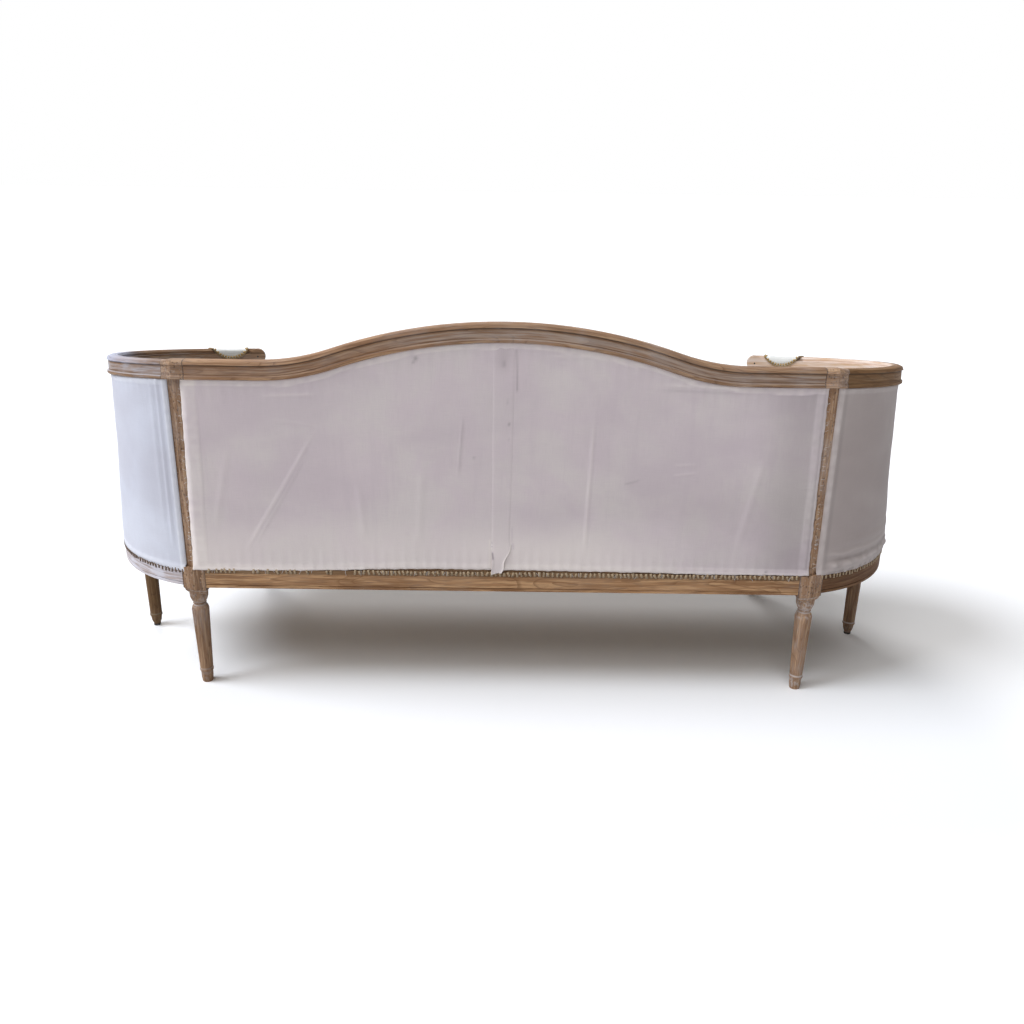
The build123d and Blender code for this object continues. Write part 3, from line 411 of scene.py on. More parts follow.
# Lit and shaded copies of one calico: the left-hand end cloth paler and bluer, painted cool light; the
# right-hand one darker and warmer, painted shade
LIT_LEFT_CLOTH = cloth(
    "calico_left", (0.635, 0.645, 0.730), (0.680, 0.692, 0.775), (0.570, 0.560, 0.625), (0.88, 0.88, 0.92))
SHADED_RIGHT_CLOTH = cloth(
    "calico_right", (0.500, 0.430, 0.408), (0.530, 0.465, 0.440), (0.430, 0.362, 0.345), (0.74, 0.66, 0.63))
LINEN = cloth("linen_cover", (0.700, 0.682, 0.655), (0.735, 0.718, 0.692), (0.630, 0.610, 0.585), weave=700.0)
PAD_LINEN = cloth("linen_pad", (0.740, 0.735, 0.705), (0.790, 0.785, 0.760), (0.680, 0.670, 0.640), weave=700.0)
BRASS = plain("aged_brass", (0.360, 0.240, 0.105), 0.45, 1.0)
GIMP = plain("gimp_braid", (0.330, 0.230, 0.115), 0.85, 0.0, 0.7)
STAPLE_PALE = plain("staple_pale", (0.400, 0.290, 0.178), 0.60, 0.0, 0.8)
STAPLE_DARK = plain("staple_dark", (0.150, 0.095, 0.060), 0.65, 0.0, 0.6)
THREAD = plain("loose_thread", (0.700, 0.660, 0.640), 0.90, 0.0, 0.3)
# Dark finish of the foot glides, also used for the painted shade of the holes in the arm ends
GLIDE_AND_HOLE_SHADE = plain("dark_glide_and_hole_shade", (0.030, 0.026, 0.024), 0.55)
JUTE = woven("jute_webbing", (0.330, 0.250, 0.165), 0.0040, 0.5)
HESSIAN = woven("hessian_sheet", (0.310, 0.235, 0.150), 0.0026, 0.6)


# Grain coordinates on the carried-over solids
def set_grain(name, kind):
    """Coordinates along, across and up a piece of wood, at each corner of its faces."""
    mesh = nodes[name].data
    side = -1.0 if name.endswith("_right") else 1.0
    co = np.empty(len(mesh.vertices) * 3, np.float32)
    mesh.vertices.foreach_get("co", co)
    loop = np.empty(len(mesh.loops), np.int32)
    mesh.loops.foreach_get("vertex_index", loop)
    x, y, z = co.reshape(-1, 3)[loop].astype(float).T
    x = side * x
    if kind == "ring":
        up = y * RING_UP[1] + (z - RING_Z) * RING_UP[2]
        along = y * math.cos(TILT) + (z - RING_Z) * math.sin(TILT)
        parts = (np.arctan2(x - TOP_X, along) * RING + RING_GRAIN, np.hypot(x - TOP_X, along) - RING, up)
    elif kind == "crest":
        parts = (x, y - TOP_FACE, z - crest_height(x))
    elif kind == "bend":
        parts = (np.arctan2(x - END_X, y) * END_R + 7.0, np.hypot(x - END_X, y) - END_R, z - SEAT_LOW)
    elif kind == "along_x":
        parts = (x + 11.0, y, z)
    elif kind == "along_y":
        parts = (y + 5.0, x, z)
    else:
        parts = (z + 17.0 * side, x, y)
    out = np.stack(parts, 1)
    if kind == "post":
        head = z > POST_HEAD
        out[head] = np.stack((x, y - TOP_FACE, z - RAIL_TOP), 1)[head]
    made = mesh.attributes.new("grain", "FLOAT_VECTOR", "CORNER")
    made.data.foreach_set("vector", out.astype(np.float32).ravel())


def dress(name, material, kind=None):
    """Give a carried-over solid its material, and its grain where it is wood."""
    if kind:
        set_grain(name, kind)
    nodes[name].data.materials.clear()
    nodes[name].data.materials.append(material)


for stem, left_wood, right_wood, kind in (
    ("corner_rail_", TOP_WOOD_LEFT, TOP_WOOD_RIGHT, "ring"),
    ("arm_", ARM_WOOD_LEFT, TOP_WOOD_RIGHT, "ring"),
    ("rear_post_", POST_WOOD_LEFT, POST_WOOD_RIGHT, "post"),
    ("end_post_", END_WOOD_LEFT, END_WOOD_RIGHT, "along_z"),
    ("front_leg_", LEG_WOOD, LEG_WOOD, "along_z"),
    ("arm_support_", LEG_WOOD, LEG_WOOD, "along_z"),
    ("rear_side_rail_", LEFT_RAIL_WOOD, RIGHT_RAIL_WOOD, "bend"),
    ("front_side_rail_", LEFT_RAIL_WOOD, RIGHT_RAIL_WOOD, "bend"),
    ("back_stay_", INNER_WOOD, INNER_WOOD, "along_x"),
    ("rear_end_stay_", INNER_WOOD, INNER_WOOD, "bend"),
    ("front_end_stay_", INNER_WOOD, INNER_WOOD, "bend"),
    ("cross_rail_", INNER_WOOD, INNER_WOOD, "along_y"),
):
    dress(stem + "left", left_wood, kind)
    dress(stem + "right", right_wood, kind)
for name, material, kind in (
    ("crest_rail", TOP_WOOD, "crest"),
    ("back_seat_rail", RAIL_WOOD, "along_x"),
    ("front_seat_rail", RAIL_WOOD, "along_x"),
    ("back_stile", INNER_WOOD, "along_z"),
    ("joint_pegs", INNER_WOOD, "along_y"),
    ("foot_glides", GLIDE_AND_HOLE_SHADE, None),
    ("seat_webbing_cross", JUTE, None),
    ("seat_webbing_long", JUTE, None),
    ("back_webbing", JUTE, None),
    ("seat_hessian", HESSIAN, None),
    ("back_hessian", HESSIAN, None),
):
    dress(name, material, kind)


# Mesh helpers
def new_object(name, verts, faces, material, flat=None, tone=0.0):
    """A smooth mesh, with the flat coordinates and the tone that the cloth materials read."""
    verts = np.asarray(verts, float).reshape(-1, 3)
    mesh = bpy.data.meshes.new(name)
    mesh.from_pydata(verts.tolist(), [], faces)
    mesh.validate()
    mesh.materials.append(material)
    for face in mesh.polygons:
        face.use_smooth = True
    if flat is not None:
        made = mesh.attributes.new("flat", "FLOAT_VECTOR", "POINT")
        made.data.foreach_set("vector", np.asarray(flat, np.float32).ravel())
        tone = np.broadcast_to(np.ravel(np.clip(tone, -0.9, 0.9)), len(verts))
        made = mesh.attributes.new("tone", "FLOAT", "POINT")
        made.data.foreach_set("value", tone.astype(np.float32))
    obj = bpy.data.objects.new(name, mesh)
    scene.collection.objects.link(obj)
    return obj


def carry(piece, stands_for=None):
    """Fix a piece to the body, and hide the part that it stands for."""
    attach(piece, "root")
    if stands_for:
        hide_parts(stands_for)
    return piece


def grid_faces(rows, columns, start=0, flip=False):
    faces = []
    for i in range(rows - 1):
        for j in range(columns - 1):
            a = start + i * columns + j
            b = a + columns
            face = (a, b, b + 1, a + 1)
            faces.append(tuple(reversed(face)) if flip else face)
    return faces


def ring_faces(rings, count):
    """Faces between closed rings of points."""
    faces = []
    for r in range(rings - 1):
        for k in range(count):
            a, b = r * count + k, r * count + (k + 1) % count
            faces.append((a, b, b + count, a + count))
    return faces


def closed_faces(rings, count):
    """Faces between closed rings, with a cap at each end."""
    caps = [tuple(reversed(range(count))), tuple(range((rings - 1) * count, rings * count))]
    return ring_faces(rings, count) + caps


def joined(*parts):
    """Points of a grid from its three coordinates, any of which may be one number."""
    return np.stack(np.broadcast_arrays(*parts), -1)


def crossed(first, second):
    return np.meshgrid(first, second, indexing="ij")


def step(x, low, high):
    t = np.clip((np.asarray(x, float) - low) / (high - low), 0.0, 1.0)
    return t * t * (3 - 2 * t)


def fade(x, low, high):
    return 1 - step(x, low, high)


def bell(off, width):
    """One at no distance, falling off smoothly over a width."""
    return np.exp(-(off / width) ** 2)


def pull(off, width):
    """The fading of a gather, away from the edge where it is fixed."""
    return np.exp(-(off / width) ** 1.5)


def ridge(px, pz, a, b, width, ends=0.25):
    """Height of a crease along a line from a to b: one on the line, falling off sideways and at the ends."""
    ax, az = a
    dx, dz = b[0] - ax, b[1] - az
    length = math.hypot(dx, dz)
    along = ((px - ax) * dx + (pz - az) * dz) / length ** 2
    off = np.abs((px - ax) * dz - (pz - az) * dx) / length
    return bell(off, width) * step(along, 0.0, ends) * fade(along, 1 - ends, 1.0)


def dot(px, pz, x, z, radius):
    return np.exp(-(((px - x) ** 2 + (pz - z) ** 2) / radius ** 2))


def field(points, scale, seed=0.0):
    """Smooth noise at each point of a grid."""
    shift = np.array((seed, -seed, 0.0))
    made = [noise.noise(Vector(p)) for p in points.reshape(-1, 3) * scale + shift]
    return np.array(made).reshape(points.shape[:-1])


def thicken(obj, amount=0.0008):
    """Give a cloth its thickness behind its face, and return its area."""
    made = obj.modifiers.new("thickness", "SOLIDIFY")
    made.thickness = amount
    made.offset = -1.0
    return sum(face.area for face in obj.data.polygons)


# Creases in the outer back cloth: two ends in x and z, width, height and tone, which is the painted highlight
# or painted shade along the crease
CREASES = (
    ((0.628, 0.356), (0.430, 0.682), 0.0042, 0.0012, 0.16),
    ((0.606, 0.372), (0.452, 0.630), 0.0042, 0.0009, 0.04),
    ((0.616, 0.366), (0.470, 0.606), 0.0036, 0.0000, -0.10),
    ((0.566, 0.751), (0.417, 0.758), 0.0045, 0.0012, 0.20),
    ((0.552, 0.701), (0.420, 0.681), 0.0045, 0.0008, 0.06),
    ((0.094, 0.720), (0.107, 0.555), 0.0030, 0.0009, -0.16),
    ((-0.208, 0.735), (-0.195, 0.345), 0.0036, 0.0012, 0.26),
    ((-0.090, 0.851), (-0.208, 0.853), 0.0040, 0.0012, 0.22),
    ((-0.335, 0.789), (-0.566, 0.783), 0.0060, 0.0016, 0.26),
    ((-0.330, 0.778), (-0.580, 0.771), 0.0050, 0.0000, -0.10),
    ((-0.392, 0.599), (-0.455, 0.602), 0.0030, 0.0008, 0.16),
    ((-0.392, 0.573), (-0.456, 0.583), 0.0030, 0.0008, 0.16),
    ((-0.280, 0.551), (-0.322, 0.563), 0.0030, 0.0006, -0.16),
    ((0.330, 0.400), (0.345, 0.560), 0.0080, 0.0010, 0.05),
    ((0.205, 0.380), (0.190, 0.600), 0.0090, 0.0008, 0.05),
    ((-0.560, 0.380), (-0.610, 0.640), 0.0090, 0.0010, 0.05),
    ((0.690, 0.420), (0.640, 0.640), 0.0080, 0.0008, 0.05),
)
# Marks on the back: place in x and z, radius and tone
MARKS = (
    (0.202, 0.843, 0.0050, -0.42),
    (0.206, 0.834, 0.0036, -0.30),
    (0.002, 0.833, 0.0040, -0.34),
    (-0.007, 0.747, 0.0030, -0.40),
    (-0.011, 0.693, 0.0030, -0.42),
    (-0.011, 0.655, 0.0026, -0.40),
    (0.660, 0.330, 0.0060, -0.25),
    (-0.640, 0.333, 0.0040, -0.35),
    (0.070, 0.612, 0.0030, -0.25),
    (0.230, 0.420, 0.0040, -0.12),
)
# Painted shadow lines beside the seam, along its lapped edge and under its loose flap, and one pale edge line:
# two ends in x and z, width, fading at the ends and tone
SEAM_LINES = (
    ((-0.0255, 0.872), (-0.0285, 0.765), 0.0022, 0.1, -0.30),
    ((0.0325, 0.412), (0.0300, 0.334), 0.0022, 0.1, 0.60),
    ((-0.0225, 0.402), (-0.0235, 0.380), 0.0024, 0.2, -0.70),
    ((-0.0200, 0.446), (-0.0215, 0.396), 0.0020, 0.2, -0.34),
)
# Rise of the back cloth's foot along the back
FOOT_X = (-0.72, -0.55, -0.16, 0.17, 0.36, 0.50, 0.72)
FOOT_RISE = (0.0032, 0.0034, 0.0068, 0.0085, 0.0040, 0.0, -0.0018)


def back_cover():
    """The outer back cloth, with turned edges, creases, gathers and marks, and painted light and shade in its
    tone.
    """
    columns, rows = 421, 141
    U, V = crossed(np.linspace(-1.0, 1.0, columns), np.linspace(0.0, 1.0, rows))
    half = 0.7385 + np.where(U > 0, 0.0140, 0.0060) * (1 - V)
    X = U * half
    top = crest_height(X) - RAIL_H * np.sqrt(1 + crest_slope(X) ** 2) + 0.0006
    foot = CLOTH_LINE + np.interp(X, FOOT_X, FOOT_RISE)
    Z = foot + V * (top - foot)
    points = joined(X, 0.0, Z)
    fray = field(points, 60.0, 2.0)
    slow = field(points, 4.5, 3.0)
    mid = field(points, 15.0, 9.0)
    side = np.maximum(half - np.abs(X), 0.0)
    low = np.maximum(Z - foot, 0.0)
    high = np.maximum(top - Z, 0.0)
    lift = np.zeros_like(X)
    tone = np.zeros_like(X)
    # Each crease lifts the cloth, and its tone paints a highlight or a shade along it
    for a, b, width, tall, shade in CREASES:
        lift += tall * ridge(X, Z, a, b, width)
        tone += shade * ridge(X, Z, a, b, 0.8 * width)
    for x, z, radius, shade in MARKS:
        tone += shade * dot(X, Z, x + 0.002 * fray, z, radius)
    for place in -0.735 + 1.47 * np.arange(60) / 59:
        lift += 0.0008 * bell(X - place, 0.0055) * pull(low, 0.040)
        lift += 0.0008 * bell(X - place - 0.010, 0.006) * pull(high, 0.045)
    for place in 0.345 + 0.43 * np.arange(18) / 17:
        lift += 0.0007 * bell(Z - place, 0.006) * pull(side, 0.045)
    wide = np.where(X > 0, 0.038, 0.028) + 0.004 * slow
    deep = 0.016 + 0.007 * mid + 0.004 * slow
    hem_side = fade(side, wide - 0.004, wide)
    hem_top = fade(high, deep - 0.003, deep)
    hem_low = fade(low, 0.012 + 0.003 * mid, 0.016 + 0.003 * mid)
    inside = step(np.minimum.reduce((side, low, high)), 0.0, 0.06)
    Y = CLOTH_FACE + 0.0014 + inside * (0.0012 * slow + 0.0005 * mid)
    Y += lift + 0.0008 * np.maximum.reduce((hem_side, hem_top, hem_low))
    Y -= 0.0050 * fade(side, 0.0, 0.012) * step(low, 0.006, 0.02)
    Y = np.where(Z < CLOTH_LINE + 0.0046, np.maximum(Y, FOOT_FACE), Y)
    tone += np.where(X > 0, 0.34, 0.16) * hem_side * (0.8 + 0.5 * fray)
    tone += 0.50 * hem_top * (0.8 + 0.6 * fray) + 0.22 * hem_low
    tone += 0.45 * fade(side, 0.002, 0.006) + 0.50 * fade(low, 0.001, 0.005)
    # Painted light: the lower part of the back cloth paler, as if lit from the floor
    tone += 0.74 * fade(Z, 0.37, 0.48) * (0.8 + 0.6 * slow) * step(X, -0.48, -0.22)
    tone -= 0.10 * np.exp(-(((X + 0.50) / 0.24) ** 2 + ((Z - 0.50) / 0.07) ** 2))
    # Painted shade: the back cloth darker towards its right end, and a little darker low on the right
    tone -= 0.28 * step(-X, 0.56, 0.70)
    tone -= 0.05 * fade(Z, 0.40, 0.60) * step(-X, 0.3, 0.5)
    # Painted shadow beside the lapped seam and under its flap, and a pale edge line
    for a, b, width, ends, shade in SEAM_LINES:
        tone += shade * ridge(X, Z, a, b, width, ends)
    # Painted shadow: short dark dashes along the top edge, under the crest's overhang
    tone -= 0.25 * fade(high, 0.0, 0.004) * step(fray, 0.0, 0.3)
    Z = np.where(low < 1e-6, Z + 0.0016 * fray - 0.0008, Z)
    X = np.where(side < 1e-6, X + np.sign(X) * 0.0016 * fray, X)
    faces = grid_faces(columns, rows, flip=True)
    made = new_object("outer_back_cover", joined(X, Y, Z), faces, BACK_CLOTH, joined(X, Z, 0.0), tone)
    return carry(made, "outer_back_cloth")


# Edges of the seam strip: heights, and places along the back at those heights
STRIP_LEFT = (
    (0.317, 0.324, 0.345, 0.360, 0.401, 0.44, 0.60, 0.90),
    (0.0275, 0.0280, 0.0262, 0.0255, 0.0300, 0.0302, 0.0302, 0.0300),
)
STRIP_RIGHT = (
    (0.317, 0.330, 0.346, 0.352, 0.366, 0.380, 0.395, 0.42, 0.434, 0.60, 0.90),
    (0.0040, -0.0030, -0.0032, -0.0040, -0.0110, -0.0190, -0.0205, -0.0190, -0.0195, -0.0230, -0.0262),
)
SLITS = ((0.3965, 0.4040), (0.3890, 0.3915), (0.3540, 0.3800))


def seam_strip():
    """The lapped seam down the middle of the back, torn loose in a flap at its foot."""
    columns = 25
    z_high = float(crest_height(0.0)) - RAIL_H - 0.001
    z = np.concatenate((np.linspace(0.3175, 0.45, 81), np.linspace(0.45, z_high, 61)[1:]))
    U, Z = crossed(np.linspace(0.0, 1.0, columns), z)
    foot_drop = 0.0050 * np.sin(U * 2.2) * fade(Z, 0.318, 0.345)
    xl = np.interp(Z, *STRIP_LEFT)
    xr = np.interp(Z, *STRIP_RIGHT)
    X = xl + (xr - xl) * U
    points = joined(X, 5.0, Z)
    fray = field(points, 90.0)
    slow = field(points, 20.0)
    under = joined(X, 0.0, Z)
    broad = field(under, 4.5, 3.0)
    sway = 0.0012 * broad + 0.0005 * field(under, 15.0, 9.0)
    free = fade(Z, 0.335, 0.405)
    right_side = (1 - U) * np.abs(xl - xr)
    left_side = U * np.abs(xl - xr)
    edge = np.minimum(U, 1 - U) * np.abs(xl - xr)
    Y = CLOTH_FACE + 0.0014 + step(Z, 0.33, 0.39) * sway + 0.0006 + free * (0.0034 + 0.0010 * slow)
    Y += free * 0.0016 * bell(edge, 0.004)
    Y -= 0.0010 * (1 - free) * bell(edge, 0.004)
    X = X + 0.0008 * fray * bell(edge, 0.003)
    Z = Z + foot_drop
    tone = -0.02 * step(Z, 0.60, 0.85)
    tone += 0.75 * fade(right_side, 0.0018, 0.0042) * fade(Z, 0.385, 0.405)
    # Painted shade: the slits near the strip's left edge are only dark dashes in the tone
    slits = np.maximum.reduce([ridge(0 * X, Z, (0, low), (0, high), 0.002) for low, high in SLITS])
    tone -= 0.9 * fade(left_side, 0.0030, 0.0048) * slits
    tone += 0.7 * fade(Z, 0.3205, 0.3235)
    # Painted light: the lower part of the strip paler, as if lit from the floor
    tone += 0.56 * fade(Z, 0.37, 0.48) * (0.8 + 0.6 * broad) + 0.02
    for x, mark_z, radius, shade in MARKS:
        tone += shade * dot(X, Z, x, mark_z, radius)
    tone -= 0.16 * np.exp(-(((X - 0.004) / 0.018) ** 2 + ((Z - 0.845) / 0.03) ** 2))
    faces = grid_faces(columns, len(z))
    made = new_object("back_seam_strip", joined(X, Y, Z), faces, BACK_CLOTH, joined(X, Z, 0.0), tone)
    return carry(made)


back = back_cover()
strip = seam_strip()
back_area = thicken(back)
strip_area = thicken(strip, 0.0006)


# Outer end cloths
def lean_at(angle, z):
    """How far the wall of the end leans in at a height."""
    wall = LEAN * (RAIL_TOP - SEAT_TOP) / (float(under_ring(0.0)) - SEAT_TOP)
    share = np.clip((z - SEAT_TOP) / (RAIL_TOP - SEAT_TOP), 0.0, 1.0)
    turn = np.clip((angle - POST_TURN) / (90 - POST_TURN), 0.0, 1.0)
    return wall * share * np.sin(np.radians(90 * turn))


def end_cover(hand):
    """An outer end cloth: tight on the left, loose and ruffled at its foot on the right."""
    side = HANDS[hand]
    left = hand == "left"
    columns, rows = 221, 121
    A, V = crossed(np.linspace(15.2 if left else 13.9, 164.6, columns), np.linspace(0.0, 1.0, rows))
    reach = CLOTH_FACE / math.cos(math.radians((160 - POST_TURN) / 64)) + 0.0012
    plan_y = reach * np.cos(np.radians(A))
    top = under_ring(plan_y) + 0.0004
    foot = CLOTH_LINE - (0.0060 + 0.0050 * fade(A, 15.0, 34.0) if left else 0.0010)
    Z = foot + V * (top - foot)
    run = np.radians(A) * reach
    points = joined(run, side, Z)
    fray = field(points, 60.0, 5.0 * side)
    slow = field(points, 6.0, 2.0 * side)
    mid = field(points, 18.0, 7.0 * side)
    start = run - run[0, 0]
    stop = run[-1, 0] - run
    low = np.maximum(Z - foot, 0.0)
    high = np.maximum(top - Z, 0.0)
    inside = step(np.minimum.reduce((start, stop, low, high)), 0.0, 0.05)
    out = inside * (0.0014 * slow + 0.0006 * mid) + 0.0004
    hem_post = fade(start, 0.012, 0.016)
    hem_top = fade(high, 0.011 + 0.004 * mid, 0.015 + 0.004 * mid)
    hem_low = fade(low, 0.010, 0.014)
    out += 0.0008 * np.maximum.reduce((hem_post, hem_top, hem_low))
    out -= 0.0045 * fade(start, 0.0, 0.010) * step(low, 0.004, 0.02)
    tone = (0.55 * hem_post + 0.35 * hem_top) * (0.8 + 0.5 * fray) + 0.25 * hem_low
    for place in run[0, 0] + (run[-1, 0] - run[0, 0]) * (np.arange(34) + 0.5) / 34:
        out += 0.0008 * bell(run - place, 0.006) * pull(high, 0.040)
        out += 0.0008 * bell(run - place - 0.006, 0.006) * pull(low, 0.040)
    if left:
        # Painted light: the lower part paler, as if lit from the floor
        tone += 0.14 * fade(Z, 0.36, 0.55)
        out += 0.0024 * bell(start - 0.030, 0.0040) * step(low, 0.03, 0.12)
        out += 0.0014 * bell(start - 0.050, 0.006) * step(low, 0.05, 0.2)
        # Painted shade in the fold between the pleat's two ridges
        tone -= 0.10 * bell(start - 0.038, 0.004) * step(low, 0.03, 0.12)
    else:
        tone -= 0.16 * bell(start - 0.022, 0.0035)
        begin = step(start, 0.012, 0.05)
        fold = 0.020 + 0.004 * mid
        ruffle = 0.0050 + 0.0024 * np.sin(start * 150.0 + 5.0 * mid) + 0.0024 * fray
        out += begin * bell(low - fold, 0.012) * ruffle
        out += begin * 0.0030 * bell(low - 0.048 - 0.012 * mid, 0.007)
        out += 0.0022 * bell(low - 0.085 + 0.05 * start, 0.010) * step(start, 0.05, 0.12)
        out += 0.0040 * bell(low - 0.10, 0.06) * step(start, 0.18, 0.40)
        # Painted highlights on the ruffle's fold and on the smaller fold above it, and painted shade between
        # them and under the ruffle at the foot
        tone += begin * 0.55 * bell(low - fold - 0.002, 0.007) * (0.7 + 0.9 * fray)
        tone += begin * 0.30 * bell(low - 0.050 - 0.012 * mid, 0.004)
        tone -= begin * 0.35 * bell(low - 0.034, 0.005) * (0.6 + 0.6 * fray)
        tone -= begin * 0.45 * bell(low - 0.004, 0.004) * step(fray, -0.1, 0.3)
    out -= 0.0030 * fade(stop, 0.0, 0.010) * step(low, 0.008, 0.02)
    out = np.where(Z < CLOTH_LINE + 0.004, np.maximum(out, END_R + 0.0014 - reach), out)
    X = END_X + (reach + out) * np.sin(np.radians(A)) - lean_at(A, Z)
    Y = plan_y + out * np.cos(np.radians(A))
    Z = np.where(low < 1e-6, Z + 0.0024 * fray - 0.0012, Z)
    flat = joined(run + (2.0 if left else 5.0), Z, 0.0)
    faces = grid_faces(columns, rows, flip=left)
    material = LIT_LEFT_CLOTH if left else SHADED_RIGHT_CLOTH
    made = new_object("outer_end_cover_" + hand, joined(side * X, Y, Z), faces, material, flat, tone)
    carry(made, "outer_end_cloth_" + hand)
    size = (float(run[-1, 0] - run[0, 0]), float(np.max(top - foot)))
    return made, size, thicken(made)


end_covers = {hand: end_cover(hand) for hand in HANDS}


# Inside back, inside ends, seat and arm pads
def pad_bow(share, edge, crown, foot, full=0.4):
    """How far a pad stands out at a share of its height."""
    lower = foot + (crown - foot) * np.sqrt(np.clip(1 - (1 - share / full) ** 2, 0, 1))
    upper = edge + (crown - edge) * np.sqrt(np.clip(1 - ((share - full) / (1 - full)) ** 2, 0, 1))
    return np.where(share < full, lower, upper)


def closed_pad(name, front, behind, material, flat):
    """A closed piece from a front grid and a back grid of the same shape."""
    rows, columns = front.shape[:2]
    base = rows * columns
    faces = grid_faces(rows, columns) + grid_faces(rows, columns, base, flip=True)
    for i in range(rows - 1):
        for j in (0, columns - 1):
            a, b = i * columns + j, (i + 1) * columns + j
            quad = (a, a + base, b + base, b)
            faces.append(quad if j == 0 else tuple(reversed(quad)))
    for j in range(columns - 1):
        for i in (0, rows - 1):
            a, b = i * columns + j, i * columns + j + 1
            quad = (a, b, b + base, a + base)
            faces.append(quad if i == 0 else tuple(reversed(quad)))
    return new_object(name, np.stack((front, behind)), faces, material, np.stack((flat, flat)))


# Soft folds in the inside back: two ends in x and z, and height
FOLDS = (
    ((0.66, 0.43), (0.52, 0.62), 0.0022),
    ((-0.67, 0.44), (-0.50, 0.60), 0.0022),
    ((0.1, 0.42), (-0.2, 0.47), 0.0016),
    ((0.66, 0.77), (0.50, 0.66), 0.0016),
    ((-0.66, 0.77), (-0.52, 0.68), 0.0016),
)


def inside_back():
    X, V = crossed(np.linspace(-INSIDE_HALF, INSIDE_HALF, 201), np.linspace(0.0, 1.0, 51))
    top = crest_height(X) - RAIL_H + 0.020
    Z = PAD_FOOT + V * (top - PAD_FOOT)
    ends = INSIDE_HALF - np.abs(X)
    bow = pad_bow(V, 0.010, 0.066, 0.053) * (1 - 0.10 * bell(ends, 0.012))
    points = joined(X, 4.0, Z)
    inside = step(np.minimum(ends, np.minimum(V, 1 - V) * 0.4), 0.0, 0.05)
    bow += inside * (0.0028 * field(points, 6.0) + 0.0010 * field(points, 20.0, 5.0))
    for place in -0.69 + 1.38 * np.arange(40) / 39:
        bow += 0.0013 * bell(X - place, 0.008) * bell(1 - V, 0.16)
        bow += 0.0010 * bell(X - place, 0.009) * bell(V, 0.10)
    for a, b, tall in FOLDS:
        bow += tall * ridge(X, Z, a, b, 0.010, 0.4)
    front = joined(X, BACK_PAD_FACE - bow, Z)
    made = closed_pad("inside_back_cover", front, joined(X, BACK_PAD_FACE, Z), LINEN, joined(X, Z, 0.0))
    carry(made, "inside_back_pad")


def inside_end(hand):
    side = HANDS[hand]
    A, V = crossed(np.linspace(7.4, 166.0, 141), np.linspace(0.0, 1.0, 51))
    sine, cosine = np.sin(np.radians(A)), np.cos(np.radians(A))
    Z = PAD_FOOT + V * (under_ring(END_PAD_FACE * cosine, 0.0015) - PAD_FOOT)
    run = np.radians(A) * END_PAD_FACE
    begin = run - run[0, 0]
    finish = run[-1, 0] - run
    bow = pad_bow(V, 0.010, 0.054, 0.040) * (1 - 0.10 * bell(begin, 0.012)) * (1 - 0.30 * bell(finish, 0.02))
    points = joined(run, 8.0 * side, Z)
    inside = step(np.minimum.reduce((begin, finish, np.minimum(V, 1 - V) * 0.4)), 0.0, 0.05)
    bow += inside * (0.0026 * field(points, 6.0) + 0.0010 * field(points, 22.0, 5.0))
    for place in run[0, 0] + (run[-1, 0] - run[0, 0]) * (np.arange(26) + 0.5) / 26:
        bow += 0.0013 * bell(run - place, 0.007) * bell(1 - V, 0.18)
        bow += 0.0012 * bell(run - place, 0.008) * bell(V, 0.16)
    reaches = (END_PAD_FACE - bow, END_PAD_FACE)
    front, behind = (joined(side * (END_X + r * sine), r * cosine, Z) for r in reaches)
    flat = joined(run + 4.0 * side, Z, 0.0)
    if side > 0:
        front, behind, flat = front[::-1], behind[::-1], flat[::-1]
    made = closed_pad("inside_end_cover_" + hand, front, behind, LINEN, flat)
    carry(made, "inside_end_pad_" + hand)


def seat_edge(inset):
    """Outline of the seat in plan, as points from the front middle round to the front middle again."""
    side, half, front = 0.246 - inset, 0.7385 - 0.6 * inset, -(0.341 - inset)
    nose = half - 0.0070
    corner = 180 - math.degrees(math.asin(min(0.999, max(-0.999, (half - END_X) / side))))
    right = [(nose * k / 40, front) for k in range(0, 41)]
    gap = -math.sqrt(max(1e-9, side ** 2 - (half - END_X) ** 2))
    right += [(nose + (half - nose) * k / 8, front + (gap - front) * k / 8) for k in range(1, 8)]
    for k in range(49):
        a = math.radians(corner * (1 - k / 48))
        right.append((END_X + side * math.sin(a), side * math.cos(a)))
    right += [(END_X * (1 - k / 36), side) for k in range(1, 36)]
    right.append((0.0, side))
    left = [(-x, y) for x, y in reversed(right[1:-1])]
    return np.array(right + left)


# Section of the seat's edge: share of its height, and inset from the outline
SEAT_PROFILE = (
    (0.0, 0.0010), (0.10, 0.0002), (0.22, 0.0), (0.36, 0.0), (0.50, 0.0014), (0.62, 0.0040), (0.72, 0.0078),
    (0.80, 0.0130), (0.86, 0.0195), (0.905, 0.0280), (0.94, 0.0390), (0.962, 0.0530), (0.976, 0.066),
    (0.986, 0.080),
)


